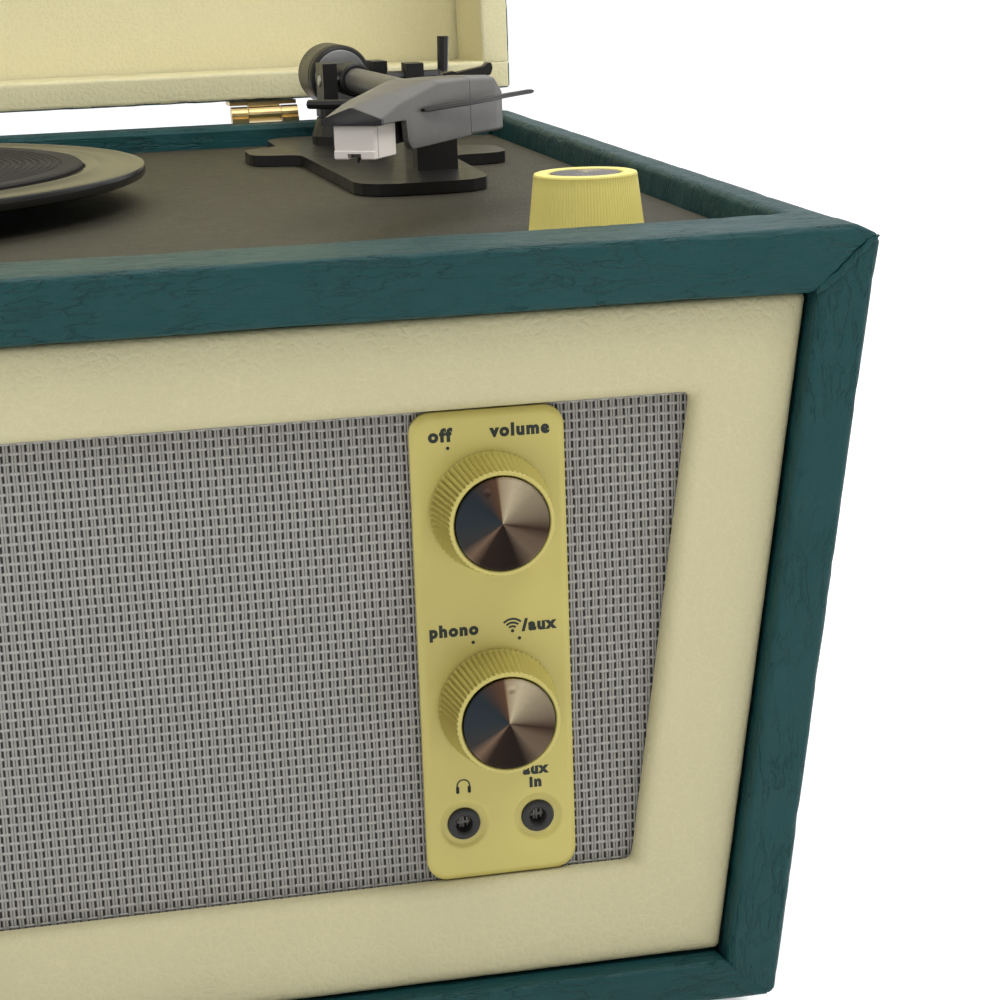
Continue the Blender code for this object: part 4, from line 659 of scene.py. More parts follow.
def lean(points):
    """Gives a block that is square to the rim the lean of the case's sides, and softens the rim's outer corners."""
    points = points.copy()
    side = np.sign(points[:, 0])
    outer = HALF - np.abs(points[:, 0])
    points[:, 0] = side * (half_width(points[:, 2]) - outer)
    near_edge = smoothstep(9 * MM, 0, outer) ** 2
    near_top = smoothstep(RIM - 16 * MM, RIM, points[:, 2])
    points[:, 2] -= 2.6 * MM * near_edge * near_top
    return points


def creases(points, stretch, seed):
    """How far the leatherette sinks at each point: soft waves and narrow creases."""
    soft = noise(points, (0.03, 0.03, 0.03), seed)
    wave = ridges(points + 0.0015 * noise(points, (0.012, 0.012, 0.012), seed + 7)[:, None], stretch, seed + 1)
    wave2 = ridges(points, np.asarray(stretch) * 1.9, seed + 2)
    return -0.00012 + 0.0001 * soft - 0.00016 * wave - 0.00014 * wave2


def make_side(side, name):
    low = (min(side * HALF, side * (HALF - BOARD)), FRONT, SIDE_LOW[2])
    high = (max(side * HALF, side * (HALF - BOARD)), BACK, RIM)

    def relief(points, _):
        return creases(points, (0.004, 0.009, 0.006), 11 + side)

    board(
        name + "_wrap", low, high, 2.2 * MM, (1.7 * MM, 3.4 * MM, 2.6 * MM), "case", TEAL_ALONG_Z, lean, relief,
        slot="teal_leatherette", replaces=[name],
    )


def mitred(points, level, rise):
    """Ends a bar on the slanting lines from the case's outer corners to its inner ones."""
    points = points.copy()
    height = np.clip(np.abs(points[:, 2] - level) / rise, 0, 1)
    reach = (half_width(points[:, 2]) - BOARD * (1 - height)) / HALF
    points[:, 0] *= reach
    return points


def make_rail():
    height = RAIL_HIGH[2] - RAIL_LOW[2]
    low = (-HALF, FRONT - 0.35 * MM, RAIL_LOW[2])
    high = (HALF, RAIL_HIGH[1], RAIL_HIGH[2] + 0.1 * MM)

    def relief(points, away):
        found = creases(points, (0.013, 0.005, 0.0034), 3)
        for side in (-1, 1):
            east = side * points[:, 0] - (HALF - BOARD)
            up = points[:, 2] - RAIL_LOW[2]
            north = points[:, 1] - FRONT
            angle = np.where(away[:, 2] > 0.7, np.arctan2(north, east + 0.02), np.arctan2(up, east + 0.012))
            fan = ridges(np.stack([angle * 3.2, np.full(len(angle), 0.3), east * 20], 1), (1, 1, 1), 21)
            found -= 0.00022 * fan * smoothstep(-0.022, 0.004, east)
            puff = smoothstep(-0.03, 0.01, east)
            found += 0.00022 * puff
        return found - 0.00045 * smoothstep(FRONT + 6 * MM, RAIL_HIGH[1], points[:, 1]) * (away[:, 2] > 0.3)

    def warp(points):
        points = mitred(points, RAIL_LOW[2], height)
        outer = half_width(points[:, 2]) - np.abs(points[:, 0])
        near_edge = smoothstep(9 * MM, 0, outer) ** 2
        points[:, 2] -= 2.6 * MM * near_edge * smoothstep(RIM - 16 * MM, RIM, points[:, 2])
        return points

    board(
        "front_rail_wrap", low, high, 1.9 * MM, (1.3 * MM, 1.6 * MM, 1.1 * MM), "case", TEAL_ALONG_X, warp, relief,
        slot="teal_leatherette", replaces=["front_rail"],
    )


def make_bottom():
    low = (-HALF, FRONT - 0.3 * MM, BOTTOM_LOW[2])
    high = (HALF, BACK - 0.4 * MM, BOTTOM_HIGH[2])

    def relief(points, _):
        return creases(points, (0.013, 0.006, 0.0036), 5)

    def warp(points):
        points = points.copy()
        rise = np.clip((BOTTOM_HIGH[2] - points[:, 2]) / (BOTTOM_HIGH[2] - BOTTOM_LOW[2]), 0, 1)
        front = smoothstep(FRONT + 12 * MM, FRONT, points[:, 1])
        points[:, 0] *= (half_width(points[:, 2]) - BOARD * (1 - rise * front) - 0.4 * MM) / HALF
        return points

    board(
        "bottom_board_wrap", low, high, 1.8 * MM, (2.2 * MM, 4 * MM, 1.2 * MM), "case", TEAL_ALONG_X, warp, relief,
        slot="teal_leatherette", replaces=["bottom_board"],
    )


def make_fold(side):
    """The loose end of the wrap, folded over in the inner corner and pressed flat."""
    inner = np.array((side * (half_width(RAIL_LOW[2]) - BOARD), FRONT - 0.25 * MM, RAIL_LOW[2]))
    outer = np.array((side * (half_width(RIM) - 1.2 * MM), FRONT - 0.25 * MM, RIM - 2.4 * MM))
    along = outer - inner
    length = np.linalg.norm(along)
    along /= length
    across = np.array((-side * along[2], 0, side * along[0]))
    rows, columns = 40, 9
    points = []
    for i in range(rows):
        t = i / (rows - 1)
        width = (2.1 - 0.9 * t) * MM * (0.35 + 0.65 * smoothstep(0, 0.1, t)) * (1 - 0.8 * smoothstep(0.9, 1, t))
        for j in range(columns):
            turn = pi * j / (columns - 1)
            place = inner + along * (length * (t * 1.02 - 0.02)) + across * width * 0.5 * cos(turn)
            wobble = 0.0002 * sin(9 * t + 1.3) + 0.00012 * sin(31 * t)
            points.append(place + across * wobble + np.array((0, -0.34 * MM * sin(turn) ** 0.7, 0)))
        points.append(inner + along * (length * t) + np.array((0, 0.6 * MM, 0)))
    count = columns + 1
    faces = strip_faces(rows, count, closed_columns=True)
    faces.append(tuple(range(count))[::-1])
    faces.append(tuple(range((rows - 1) * count, rows * count)))
    if side < 0:
        faces = [f[::-1] for f in faces]
    name = "corner_fold_right" if side > 0 else "corner_fold_left"
    piece(name, points, faces, "case", TEAL_ALONG_Z, slot="teal_leatherette", sharp=70)


make_side(1, "right_side_board")
make_side(-1, "left_side_board")
make_rail()
make_bottom()
for corner_side in (-1, 1):
    make_fold(corner_side)

# ---- Padded cream frame and the speaker cloth

OPEN_SIDE = 24.3 * MM
OPEN_TOP = TRIM_HIGH[2] - 21.8 * MM
OPEN_BOTTOM = TRIM_LOW[2] + 24.5 * MM
EDGE_GAP = BOARD + 0.7 * MM


def corners(low, high, inset):
    """The four corners of a frame between the slanting sides."""
    wide, narrow = half_width(high) - inset, half_width(low) - inset
    return np.array([(-narrow, low), (narrow, low), (wide, high), (-wide, high)])


def softened(points, radius, count):
    """A closed outline with round corners, the same number of points for every outline."""
    found = []
    size = len(points)
    for i in range(size):
        here, before, after = points[i], points[i - 1], points[(i + 1) % size]
        start = here + (before - here) / np.linalg.norm(before - here) * radius
        stop = here + (after - here) / np.linalg.norm(after - here) * radius
        for t in np.linspace(0, 1, 9):
            found.append((1 - t) ** 2 * start + 2 * t * (1 - t) * here + t**2 * stop)
        following = after + (here - after) / np.linalg.norm(here - after) * radius
        for t in np.linspace(0, 1, count + 2)[1:-1]:
            found.append(stop + (following - stop) * t)
    return np.array(found)


def make_trim():
    outer = softened(corners(TRIM_LOW[2], TRIM_HIGH[2], EDGE_GAP), 1.5 * MM, 110)
    inner = softened(corners(OPEN_BOTTOM, OPEN_TOP, EDGE_GAP + OPEN_SIDE), 2.5 * MM, 110)
    face, back = TRIM_LOW[1], TRIM_HIGH[1]
    profile = [(0.0, back), (0.0, face + 1.8 * MM), (0.012, face + 0.7 * MM), (0.05, face + 0.15 * MM)]
    profile += [(t, face) for t in np.linspace(0.1, 0.84, 13)]
    for turn in np.linspace(0, pi / 2, 8):
        profile.append((0.86 + 0.14 * sin(turn), face + 3.6 * MM * (1 - cos(turn))))
    profile.append((1.0, back))
    rows = []
    for t, y in profile:
        flat = outer + (inner - outer) * t
        rows.append(np.stack([flat[:, 0], np.full(len(flat), y), flat[:, 1]], 1))
    points = np.concatenate(rows)
    free = smoothstep(back, face + 3 * MM, points[:, 1])
    crown = np.repeat([sin(pi * min(t, 0.9) / 0.9) if t < 0.9 else 0 for t, _ in profile], len(outer))
    swell = 0.5 + 0.5 * noise(points, 0.05, 41)
    points[:, 1] += free * (0.35 * MM * swell + 0.12 * MM * (1 + noise(points, 0.006, 42))) - 0.25 * MM * crown * free
    points[:, 1] = np.maximum(points[:, 1], face)
    faces = strip_faces(len(profile), len(outer), closed_rows=True, closed_columns=True)
    made = piece(
        "trim_vinyl", points, faces, "case", FINISHES["cream_leatherette"], slot="cream_leatherette",
        replaces=["trim_frame"], sharp=60,
    )
    return made


WARP_PITCH, WEFT_PITCH = 1.8 * MM, 2.28 * MM
CLOTH_THREAD = linear(144, 142, 136)


def weave():
    """Pairs of thin upright strands, with single level strands passing over and under them in turn, and painted shade
    between them.
    """
    made = Shade("speaker_cloth", linear(150, 148, 142), 0.8, Sheen_Weight=0.1)
    axes = made.node("ShaderNodeSeparateXYZ")
    made.put(made.warped(made.place, 90.0, 0.0004), axes.inputs[0])
    across = made.math("DIVIDE", axes.outputs["X"], WARP_PITCH)
    along = made.math("DIVIDE", axes.outputs["Z"], WEFT_PITCH)
    cell = made.math("ADD", made.math("FLOOR", across), made.math("FLOOR", along))
    level_over = made.math("GREATER_THAN", made.math("ABSOLUTE", made.math("MODULO", cell, 2.0)), 0.5)
    in_x, in_z = made.math("FRACT", across), made.math("FRACT", along)

    def strand(value, centre, half):
        offset = made.math("DIVIDE", made.math("SUBTRACT", value, centre), half)
        return made.math("MAXIMUM", made.math("SUBTRACT", 1.0, made.math("MULTIPLY", offset, offset)), 0.0)

    upright = made.math("MAXIMUM", strand(in_x, 0.29, 0.19), strand(in_x, 0.67, 0.19))
    level = strand(in_z, 0.5, 0.19)
    upright = made.math("MULTIPLY", upright, made.math("SUBTRACT", 1.0, made.math("MULTIPLY", level_over, 0.25)))
    level = made.math("MULTIPLY", level, made.math("MULTIPLY_ADD", level_over, 0.75, 0.45))
    height = made.math("MAXIMUM", upright, level)
    fleck = made.noise(1.0, 2.0, made.stretched((700.0, 700.0, 160.0)))
    thread = made.mix(fleck, CLOTH_THREAD, scaled(CLOTH_THREAD, 1.3))
    pale = made.mix(fleck, scaled(CLOTH_THREAD, 1.15), scaled(CLOTH_THREAD, 1.5))
    top = made.mix(made.math("GREATER_THAN", level, upright), thread, pale)
    # painted shade: near black between the strands, where the cloth is open to the shade behind it
    painted_gap_shade = made.ramp(height, [(0.1, 1.0), (0.5, 0.0)])
    made.colour(made.mix(painted_gap_shade, top, linear(24, 22, 20)))
    made.rough(0.7, 0.9, fleck)
    made.bump(height, 0.0006, 0.7)
    made.bump(fleck, 0.0001, 0.4)
    return made.mat


def make_cloth():
    """The cloth's sheet, raised where its upright strands come over."""
    low, high = span("grille_cloth")
    half = half_width(OPEN_TOP) - EDGE_GAP - OPEN_SIDE + 4 * MM
    columns = np.arange(-half, half, WARP_PITCH / 2)
    rows = np.arange(OPEN_BOTTOM - 4 * MM, OPEN_TOP + 4 * MM, WEFT_PITCH / 2)
    a, b = np.meshgrid(columns, rows, indexing="ij")
    x, z = a.ravel(), b.ravel()
    phase = np.sin(pi * x / WARP_PITCH) * np.sin(pi * z / WEFT_PITCH)
    narrow = (half_width(z) - EDGE_GAP - OPEN_SIDE + 4 * MM) / half
    y = (low[1] + high[1]) / 2 - 0.1 * MM * phase
    points = np.stack([x * narrow, y, z], 1)
    faces = strip_faces(*a.shape)
    made = piece(
        "speaker_cloth", points, faces, "case", weave(), slot="grille_cloth", replaces=["grille_cloth"], sharp=180,
        solid=False,
    )


make_trim()
make_cloth()

# ---- Lid: leatherette outside, cream lining and rim inside

LID_PIVOT = np.array(joint("lid_hinge")["pos_m"])
LID_TURN = np.array(Matrix.Rotation(radians(92), 3, "X"))
LID_MIDDLE = middle("lid_panel")[2]


def shut(points):
    return (points - LID_PIVOT) @ LID_TURN.T + LID_PIVOT


def opened(points):
    return (points - LID_PIVOT) @ LID_TURN + LID_PIVOT


def inside_lid(centre, normal):
    """True for the tray's faces and its rim, with the lid open."""
    sideways = abs(normal.x) > 0.6 and centre.x * normal.x > 0
    endways = abs(normal.z) > 0.6 and (centre.z - LID_MIDDLE) * normal.z > 0
    return not (sideways or endways or normal.y > 0.6)


# painted light: the lid's lining is the cream vinyl made 1.3 times lighter, for the light falling on the lid's open
# inside
LID_LINING_PAINTED_LIGHT = vinyl("cream_lining_painted_light", scaled(CREAM, 1.3))


def make_lid_boards():
    def relief(points, _):
        return creases(points, (0.009, 0.009, 0.009), 31)

    for name in ("lid_panel", "lid_front_wall", "lid_back_wall", "lid_left_wall", "lid_right_wall"):
        corner_points = shut(np.array([v.co for v in frame["nodes"][name].data.vertices]))
        low, high = corner_points.min(0), corner_points.max(0)
        if name in ("lid_left_wall", "lid_right_wall"):  # its ends are tucked into the walls they meet
            low[1] -= 2 * MM
            high[1] += 2 * MM
        board(
            name + "_wrap", low, high, 1.8 * MM, (3.2 * MM, 3.2 * MM, 3.2 * MM), "lid", TEAL_ALONG_X, opened, relief,
            lining=(LID_LINING_PAINTED_LIGHT, inside_lid), slot="teal_leatherette", replaces=[name],
        )


make_lid_boards()

# ---- Control plate, its lettering, knobs and sockets

PLATE_FRONT = PLATE_LOW[1]
PLATE_MIDDLE = middle("control_plate")
KNOBS = {"volume_knob": 24, "selector_knob": -5}  # name and where the cap's dimple is, in degrees from up
JACKS = ("headphone_jack", "aux_jack")
INK = linear(40, 46, 40)


def make_plate():
    """The plate's face as a height field: a band that slopes round the edge, and a dish round each socket."""
    cell = 0.45 * MM
    band, corner, slope = 1.5 * MM, 5 * MM, 0.55 * MM
    half = (PLATE_HIGH - PLATE_LOW) / 2
    columns, rows = round(2 * half[0] / cell), round(2 * half[2] / cell)
    u = np.linspace(-1, 1, columns + 1)
    v = np.linspace(-1, 1, rows + 1)
    a, b = np.meshgrid(u, v, indexing="ij")
    x, z = a.ravel() * half[0], b.ravel() * half[2]
    over_x, over_z = np.abs(x) - (half[0] - corner), np.abs(z) - (half[2] - corner)
    at_corner = (over_x > 0) & (over_z > 0)
    reach = np.hypot(over_x, over_z)
    edge = np.maximum(over_x, over_z)
    pull = np.where(at_corner & (reach > 1e-9), edge / np.maximum(reach, 1e-9), 1)
    x = np.where(at_corner, np.sign(x) * (half[0] - corner + over_x * pull), x)
    z = np.where(at_corner, np.sign(z) * (half[2] - corner + over_z * pull), z)
    inward = corner - edge
    depth = slope * (1 - smoothstep(0, 1, inward / band)) + 0.25 * MM * (1 - smoothstep(0, 0.25, inward / band))
    for name in JACKS:
        centre = middle(name) - PLATE_MIDDLE
        away = np.hypot(x - centre[0], z - centre[2])
        depth += 0.7 * MM * smoothstep(5.9 * MM, 5.2 * MM, away)
    face = np.stack([x, np.full(len(x), PLATE_FRONT) + depth, z], 1)
    back = face.copy()
    back[:, 1] = PLATE_HIGH[1]
    middle_xz = np.array((PLATE_MIDDLE[0], 0, PLATE_MIDDLE[2]))
    count = len(face)
    faces = strip_faces(columns + 1, rows + 1)
    for name in JACKS:
        centre = middle(name) - PLATE_MIDDLE
        hole = np.hypot(x - centre[0], z - centre[2]) < 3.3 * MM
        faces = [f for f in faces if not hole[list(f)].all()]
    edges = {(f[k], f[(k + 1) % 4]) for f in faces for k in range(4)}
    walls = [(q, p, p + count, q + count) for p, q in sorted(edges) if (q, p) not in edges]
    lid = [tuple(v + count for v in f[::-1]) for f in faces]
    points = np.concatenate([face, back]) + middle_xz
    piece(
        "control_panel", points, faces + walls + lid, "case", FINISHES["cream_plastic"], slot="cream_plastic",
        replaces=["control_plate"], sharp=50,
    )


def lettering(name, text, x, z, size, bold=0.00024):
    """Raised lettering on the plate, its middle at x and its foot at z, both from the plate's middle."""
    font = bpy.data.curves.new(name, "FONT")
    font.body = text
    font.size = size
    font.align_x = "CENTER"
    font.extrude = 0.00003
    font.offset = bold
    font.space_character = 1.22
    font.resolution_u = 3
    holder = bpy.data.objects.new(name + "_text", font)
    bpy.context.scene.collection.objects.link(holder)
    bpy.context.view_layer.update()
    mesh = bpy.data.meshes.new_from_object(holder.evaluated_get(bpy.context.evaluated_depsgraph_get()))
    bpy.data.objects.remove(holder)
    place = at((PLATE_MIDDLE[0] + x, PLATE_FRONT, PLATE_MIDDLE[2] + z), (0, -1, 0), (1, 0, 0))
    mesh.transform(place)
    mesh.materials.clear()
    mesh.materials.append(INK_FINISH)
    made = bpy.data.objects.new(name, mesh)
    bpy.context.scene.collection.objects.link(made)
    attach(made, "case")


def disc_on_plate(name, x, z, radius):
    place = at((PLATE_MIDDLE[0] + x, PLATE_FRONT, PLATE_MIDDLE[2] + z), (0, -1, 0))
    low, high = -0.02 * MM, 0.04 * MM
    profile = [(0, high), (radius, high), (radius, low), (0, low)]
    turned(name, profile, place, "case", INK_FINISH, 20, slot="black_plastic")


INK_FINISH = plastic("ink", INK, 0.6, 0.2)


def make_lettering():
    lettering("label_off", "off", -11.2 * MM, 50.3 * MM, 4.1 * MM)
    lettering("label_volume", "volume", 7.6 * MM, 50.6 * MM, 3.9 * MM)
    disc_on_plate("mark_off", -9.4 * MM, 48.6 * MM, 0.42 * MM)
    lettering("label_phono", "phono", -9.7 * MM, 3.8 * MM, 3.8 * MM)
    lettering("label_aux", "/aux", 10.6 * MM, 3.6 * MM, 3.8 * MM)
    disc_on_plate("mark_phono", -5.2 * MM, 1.8 * MM, 0.42 * MM)
    disc_on_plate("mark_aux", 5.9 * MM, 1.8 * MM, 0.42 * MM)
    lettering("label_aux_in_first", "aux", 8.6 * MM, -32.1 * MM, 3.5 * MM)
    lettering("label_aux_in_second", "in", 8.6 * MM, -35.4 * MM, 3.5 * MM)
    make_waves()
    make_headphones()


def arc_on_plate(name, centre, radius, start, stop, width):
    """A flat printed arc, from one angle to another."""
    angles = np.linspace(radians(start), radians(stop), 25)
    high = 0.035 * MM
    points = []
    for angle in angles:
        outside, inside = radius + width / 2, radius - width / 2
        for r, h in ((outside, high), (inside, high), (inside, 0), (outside, 0)):
            x = PLATE_MIDDLE[0] + centre[0] + r * cos(angle)
            z = PLATE_MIDDLE[2] + centre[1] + r * sin(angle)
            points.append((x, PLATE_FRONT - h, z))
    faces = strip_faces(len(angles), 4, closed_columns=True)
    faces.append((3, 2, 1, 0))
    last = 4 * (len(angles) - 1)
    faces.append((last, last + 1, last + 2, last + 3))
    piece(name, points, [f[::-1] for f in faces], "case", INK_FINISH, slot="black_plastic")


def make_waves():
    """A plain sign for a wireless source: three arcs over a dot."""
    centre = (4.3 * MM, 3.7 * MM)
    disc_on_plate("sign_wireless_dot", centre[0], centre[1], 0.42 * MM)
    for index, radius in enumerate((1.1, 2.0, 2.9)):
        arc_on_plate(f"sign_wireless_arc_{index}", centre, radius * MM, 45, 135, 0.5 * MM)


def make_headphones():
    centre = (-8.9 * MM, -33.4 * MM)
    arc_on_plate("sign_headphones_band", centre, 1.5 * MM, -10, 190, 0.35 * MM)
    for side in (-1, 1):
        x = centre[0] + side * 1.4 * MM
        for index, drop in enumerate((0.5, 1.0, 1.5)):
            disc_on_plate(f"sign_headphones_cup_{side + 1}_{index}", x, centre[1] - drop * MM, 0.42 * MM)


def make_knob(name, dimple):
    """A fluted knob with a plain ring round a recessed cap."""
    low, high = span(name)
    foot, top = PLATE_FRONT - 0.3 * MM, low[1]
    centre = ((low[0] + high[0]) / 2, 0, (low[2] + high[2]) / 2)
    place = at((centre[0], foot, centre[2]), (0, -1, 0))
    height = foot - top
    cap = (span(name + "_cap")[1][0] - span(name + "_cap")[0][0]) / 2
    rim, base = 12.35 * MM, 14.3 * MM
    flutes = 64
    profile = [
        (0, height - 2 * MM),
        (cap + 0.25 * MM, height - 2 * MM),
        (cap + 0.25 * MM, height - 0.25 * MM),
        (cap + 0.5 * MM, height),
        (rim - 0.5 * MM, height),
        (rim - 0.12 * MM, height - 0.15 * MM),
    ]
    profile += [(rim + (base - rim) * t, height - 0.3 * MM - t * (height - 0.9 * MM)) for t in np.linspace(0, 1, 12)]
    profile += [(base, 0.3 * MM), (base - 0.4 * MM, 0), (3 * MM, 0), (3 * MM, -12 * MM), (0, -12 * MM)]

    def cut(angles, radius, level):
        if not 0.25 * MM < level[0] < height - 0.05 * MM or radius[0] < rim - 0.3 * MM:
            return radius, level
        step = (angles * flutes / (2 * pi)) % 1
        tooth = np.where(step < 0.72, step / 0.72, (1 - step) / 0.28)
        deep = smoothstep(height, height - 1.2 * MM, level)
        return radius - (0.15 * MM + 0.75 * MM * deep) * tooth, level

    turned(
        name + "_fluted", profile, place, name, FINISHES["cream_plastic"], flutes * 7, cut, slot="cream_plastic",
        replaces=[name], sharp=40,
    )
    make_cap(name, cap, at((centre[0], foot, centre[2]), (0, -1, 0)), height, dimple)


# painted reflection on the knob caps, standing in for the light their spun faces reflect
CAP_PAINTED_REFLECTION = [  # degrees round the cap, from its left side by way of its foot, and the colour there
    (-180, (32, 40, 44)),
    (-152, (44, 44, 44)),
    (-138, (104, 84, 68)),
    (-122, (36, 26, 22)),
    (-72, (24, 18, 16)),
    (-50, (96, 82, 68)),
    (-28, (84, 70, 58)),
    (-12, (44, 30, 22)),
    (4, (92, 80, 66)),
    (38, (128, 117, 96)),
    (72, (176, 164, 136)),
    (92, (148, 130, 104)),
    (97, (84, 60, 44)),
    (116, (60, 48, 42)),
    (132, (30, 40, 46)),
]


def make_cap(name, radius, place, height, dimple, proud=0.45 * MM, spot=0.9 * MM):
    """A spun metal cap with a dark rim and a small dimple near its edge."""
    top = height + proud
    edge = 0.35 * MM
    rings_at = np.concatenate([np.linspace(0, radius - edge, 40), [radius - 0.1 * MM, radius]])
    steps = 200
    angle = pi / 2 + radians(dimple)
    distance = radius * 0.76

    def press(angles, r, h):
        x, y = r * np.cos(angles), r * np.sin(angles)
        away = np.hypot(x - distance * cos(angle), y - distance * sin(angle))
        return r, h - 0.3 * MM * np.clip(1 - (away / spot) ** 2, 0, 1) * (h > height)

    profile = [(r, top - (0.3 * MM if r == radius else 0.08 * MM if r > radius - edge else 0)) for r in rings_at]
    profile += [(radius, height - 1.6 * MM), (0, height - 1.6 * MM)]
    centre = (place @ Vector((0, 0, 0)))[:]
    axis = "Z" if abs((place.to_3x3() @ Vector((0, 0, 1))).z) > 0.5 else "Y"
    # the cap's painted reflection, 1.15 times lighter than listed
    stops = [(angle, scaled(linear(*colour), 1.15)) for angle, colour in CAP_PAINTED_REFLECTION]
    finish = rings(
        name + "_spun", (0.1, 0.08, 0.065), 0.2, 0.00012, 0.00001, centre, axis, metallic=1.0, anisotropic=0.85,
        fan=stops,
    )
    turned(
        name + "_cap_spun", profile, place, name, finish, steps, press, slot="smoked_metal", replaces=[name + "_cap"]
    )


def make_jack(name):
    low, high = span(name)
    centre = (low + high) / 2
    place = at((centre[0], PLATE_FRONT, centre[2]), (0, -1, 0))
    profile = [
        (0, -6 * MM), (1.75 * MM, -6 * MM), (1.75 * MM, -0.7 * MM), (2.1 * MM, -0.15 * MM), (2.6 * MM, 0.05 * MM),
        (3.3 * MM, 0.08 * MM), (3.8 * MM, -0.1 * MM), (4.0 * MM, -0.5 * MM), (4.0 * MM, -2.3 * MM),
        (5.2 * MM, -2.3 * MM), (5.2 * MM, -13.3 * MM), (0, -13.3 * MM),
    ]
    finish = FINISHES["black_plastic"]
    turned(name + "_ring", profile, place, "case", finish, 64, slot="black_plastic", replaces=[name])


make_plate()
make_lettering()
for knob_name, dimple_angle in KNOBS.items():
    make_knob(knob_name, dimple_angle)
for jack_name in JACKS:
    make_jack(jack_name)

# ---- Platter, mat, spindle and speed knob

PLATTER_CENTRE = tuple(middle("platter"))
PLATTER_TOP = 0.2003


def make_platter():
    centre = (PLATTER_CENTRE[0], PLATTER_CENTRE[1], PLATTER_TOP)
    place = at(centre)
    radius = (PLATTER_HIGH[0] - PLATTER_LOW[0]) / 2
    profile = [(4.1 * MM, -1.3 * MM), (91.5 * MM, -1.3 * MM), (91.5 * MM, -0.3 * MM), (91.8 * MM, 0)]
    profile += [(93.5 * MM, 0), (94.2 * MM, 0.4 * MM), (95.4 * MM, 0.4 * MM), (96.2 * MM, -0.1 * MM)]
    profile += [(radius - 5 * MM, -0.25 * MM), (radius - 3.2 * MM, 0.0), (radius - 2.2 * MM, 0.42 * MM)]
    profile += [(radius - 1.0 * MM, 0.48 * MM), (radius - 0.3 * MM, 0.2 * MM), (radius, -0.4 * MM)]
    profile += [(radius, -2.2 * MM), (radius - 0.5 * MM, -3.0 * MM), (radius - 2 * MM, -3.6 * MM)]
    profile += [(65.2 * MM, -3.6 * MM), (65.2 * MM, -9.9 * MM), (62 * MM, -9.9 * MM), (62 * MM, -3.6 * MM)]
    profile += [(12 * MM, -3.6 * MM), (12 * MM, -9 * MM), (4.1 * MM, -9 * MM), (4.1 * MM, -1.3 * MM)]
    finish = rings("platter_gloss", linear(26, 25, 24), 0.22, 0.004, 0.00001, centre, "Z")
    turned(
        "platter_moulding", profile[:-1], place, "platter", finish, 256, slot="black_plastic", replaces=["platter"],
        closed=True,
    )


def make_mat():
    centre = (PLATTER_CENTRE[0], PLATTER_CENTRE[1], PLATTER_TOP)
    top = MAT_HIGH[2] - PLATTER_TOP
    bottom = MAT_LOW[2] - PLATTER_TOP
    profile = [(4.4 * MM, top)]
    radius = 20 * MM
    while radius < 84 * MM:
        for step, drop in ((0, 0), (0.35, 0.0), (0.6, 0.45), (0.95, 0.45), (1.2, 0)):
            profile.append((radius + step * 1.6 * MM, top - drop * MM))
        radius += 2.1 * MM
    profile += [(86 * MM, top), (90.2 * MM, top), (90.9 * MM, top - 0.5 * MM), (90.9 * MM, bottom), (4.4 * MM, bottom)]
    turned(
        "platter_mat_ribbed", profile, at(centre), "platter", FINISHES["rubber"], 192, slot="rubber",
        replaces=["platter_mat"], closed=True,
    )


def make_spindle():
    low, high = span("platter_spindle")
    place = at((PLATTER_CENTRE[0], PLATTER_CENTRE[1], 0))
    tip = high[2]
    profile = [(3.6 * MM * sin(t), tip - 3 * MM * (1 - cos(t))) for t in np.linspace(0, pi / 2, 9)]
    washer = [(3.6, 1.8), (4, 1.5), (16, 1.5), (16, 0.3), (9.7, 0.3)]
    profile += [(r * MM, DECK_HIGH[2] + z * MM) for r, z in washer]
    profile += [(9.7 * MM, low[2]), (0, low[2])]
    turned(
        "spindle_turned", profile, place, "case", FINISHES["steel"], 64, slot="steel", replaces=["platter_spindle"]
    )


# painted light: the speed knob is the plate's cream plastic made 1.75 times lighter, making up for the shade among its
# ribs
SPEED_KNOB_PAINTED_LIGHT = plastic("speed_knob_painted_light", scaled(PLATE_COLOUR, 1.75), 0.42)


def make_speed_knob():
    low, high = span("speed_knob")
    centre = joint("speed_turn")["pos_m"]
    foot = DECK_HIGH[2] + 0.3 * MM
    height = high[2] - foot
    place = at((centre[0], centre[1], foot))
    cap, rim, base = 9 * MM, 13.2 * MM, 14.7 * MM
    ribs = 110
    profile = [(0, height - 2 * MM), (cap + 0.3 * MM, height - 2 * MM), (cap + 0.3 * MM, height - 0.6 * MM)]
    profile += [(cap + 0.6 * MM, height - 0.1 * MM), (cap + 1 * MM, height), (rim - 0.7 * MM, height)]
    profile += [(rim - 0.2 * MM, height - 0.15 * MM), (rim, height - 0.6 * MM)]
    profile += [(rim + (base - rim) * t, height - 0.8 * MM - (height - 2 * MM) * t) for t in np.linspace(0, 1, 7)]
    profile += [(base, 1 * MM), (base, 0), (3 * MM, 0), (3 * MM, low[2] - foot), (0, low[2] - foot)]

    def rib(angles, radius, level):
        if not 1.1 * MM < level[0] < height - 0.7 * MM or radius[0] < rim - 0.2 * MM:
            return radius, level
        return radius - 0.16 * MM * (0.5 - 0.5 * np.cos(angles * ribs)), level

    turned(
        "speed_knob_ribbed", profile, place, "speed_knob", SPEED_KNOB_PAINTED_LIGHT, ribs * 6, rib,
        slot="cream_plastic", replaces=["speed_knob"],
    )
    make_cap("speed_knob", cap, place, height - 0.6 * MM, 0)


make_platter()
make_mat()
make_spindle()
make_speed_knob()

# ---- Tonearm

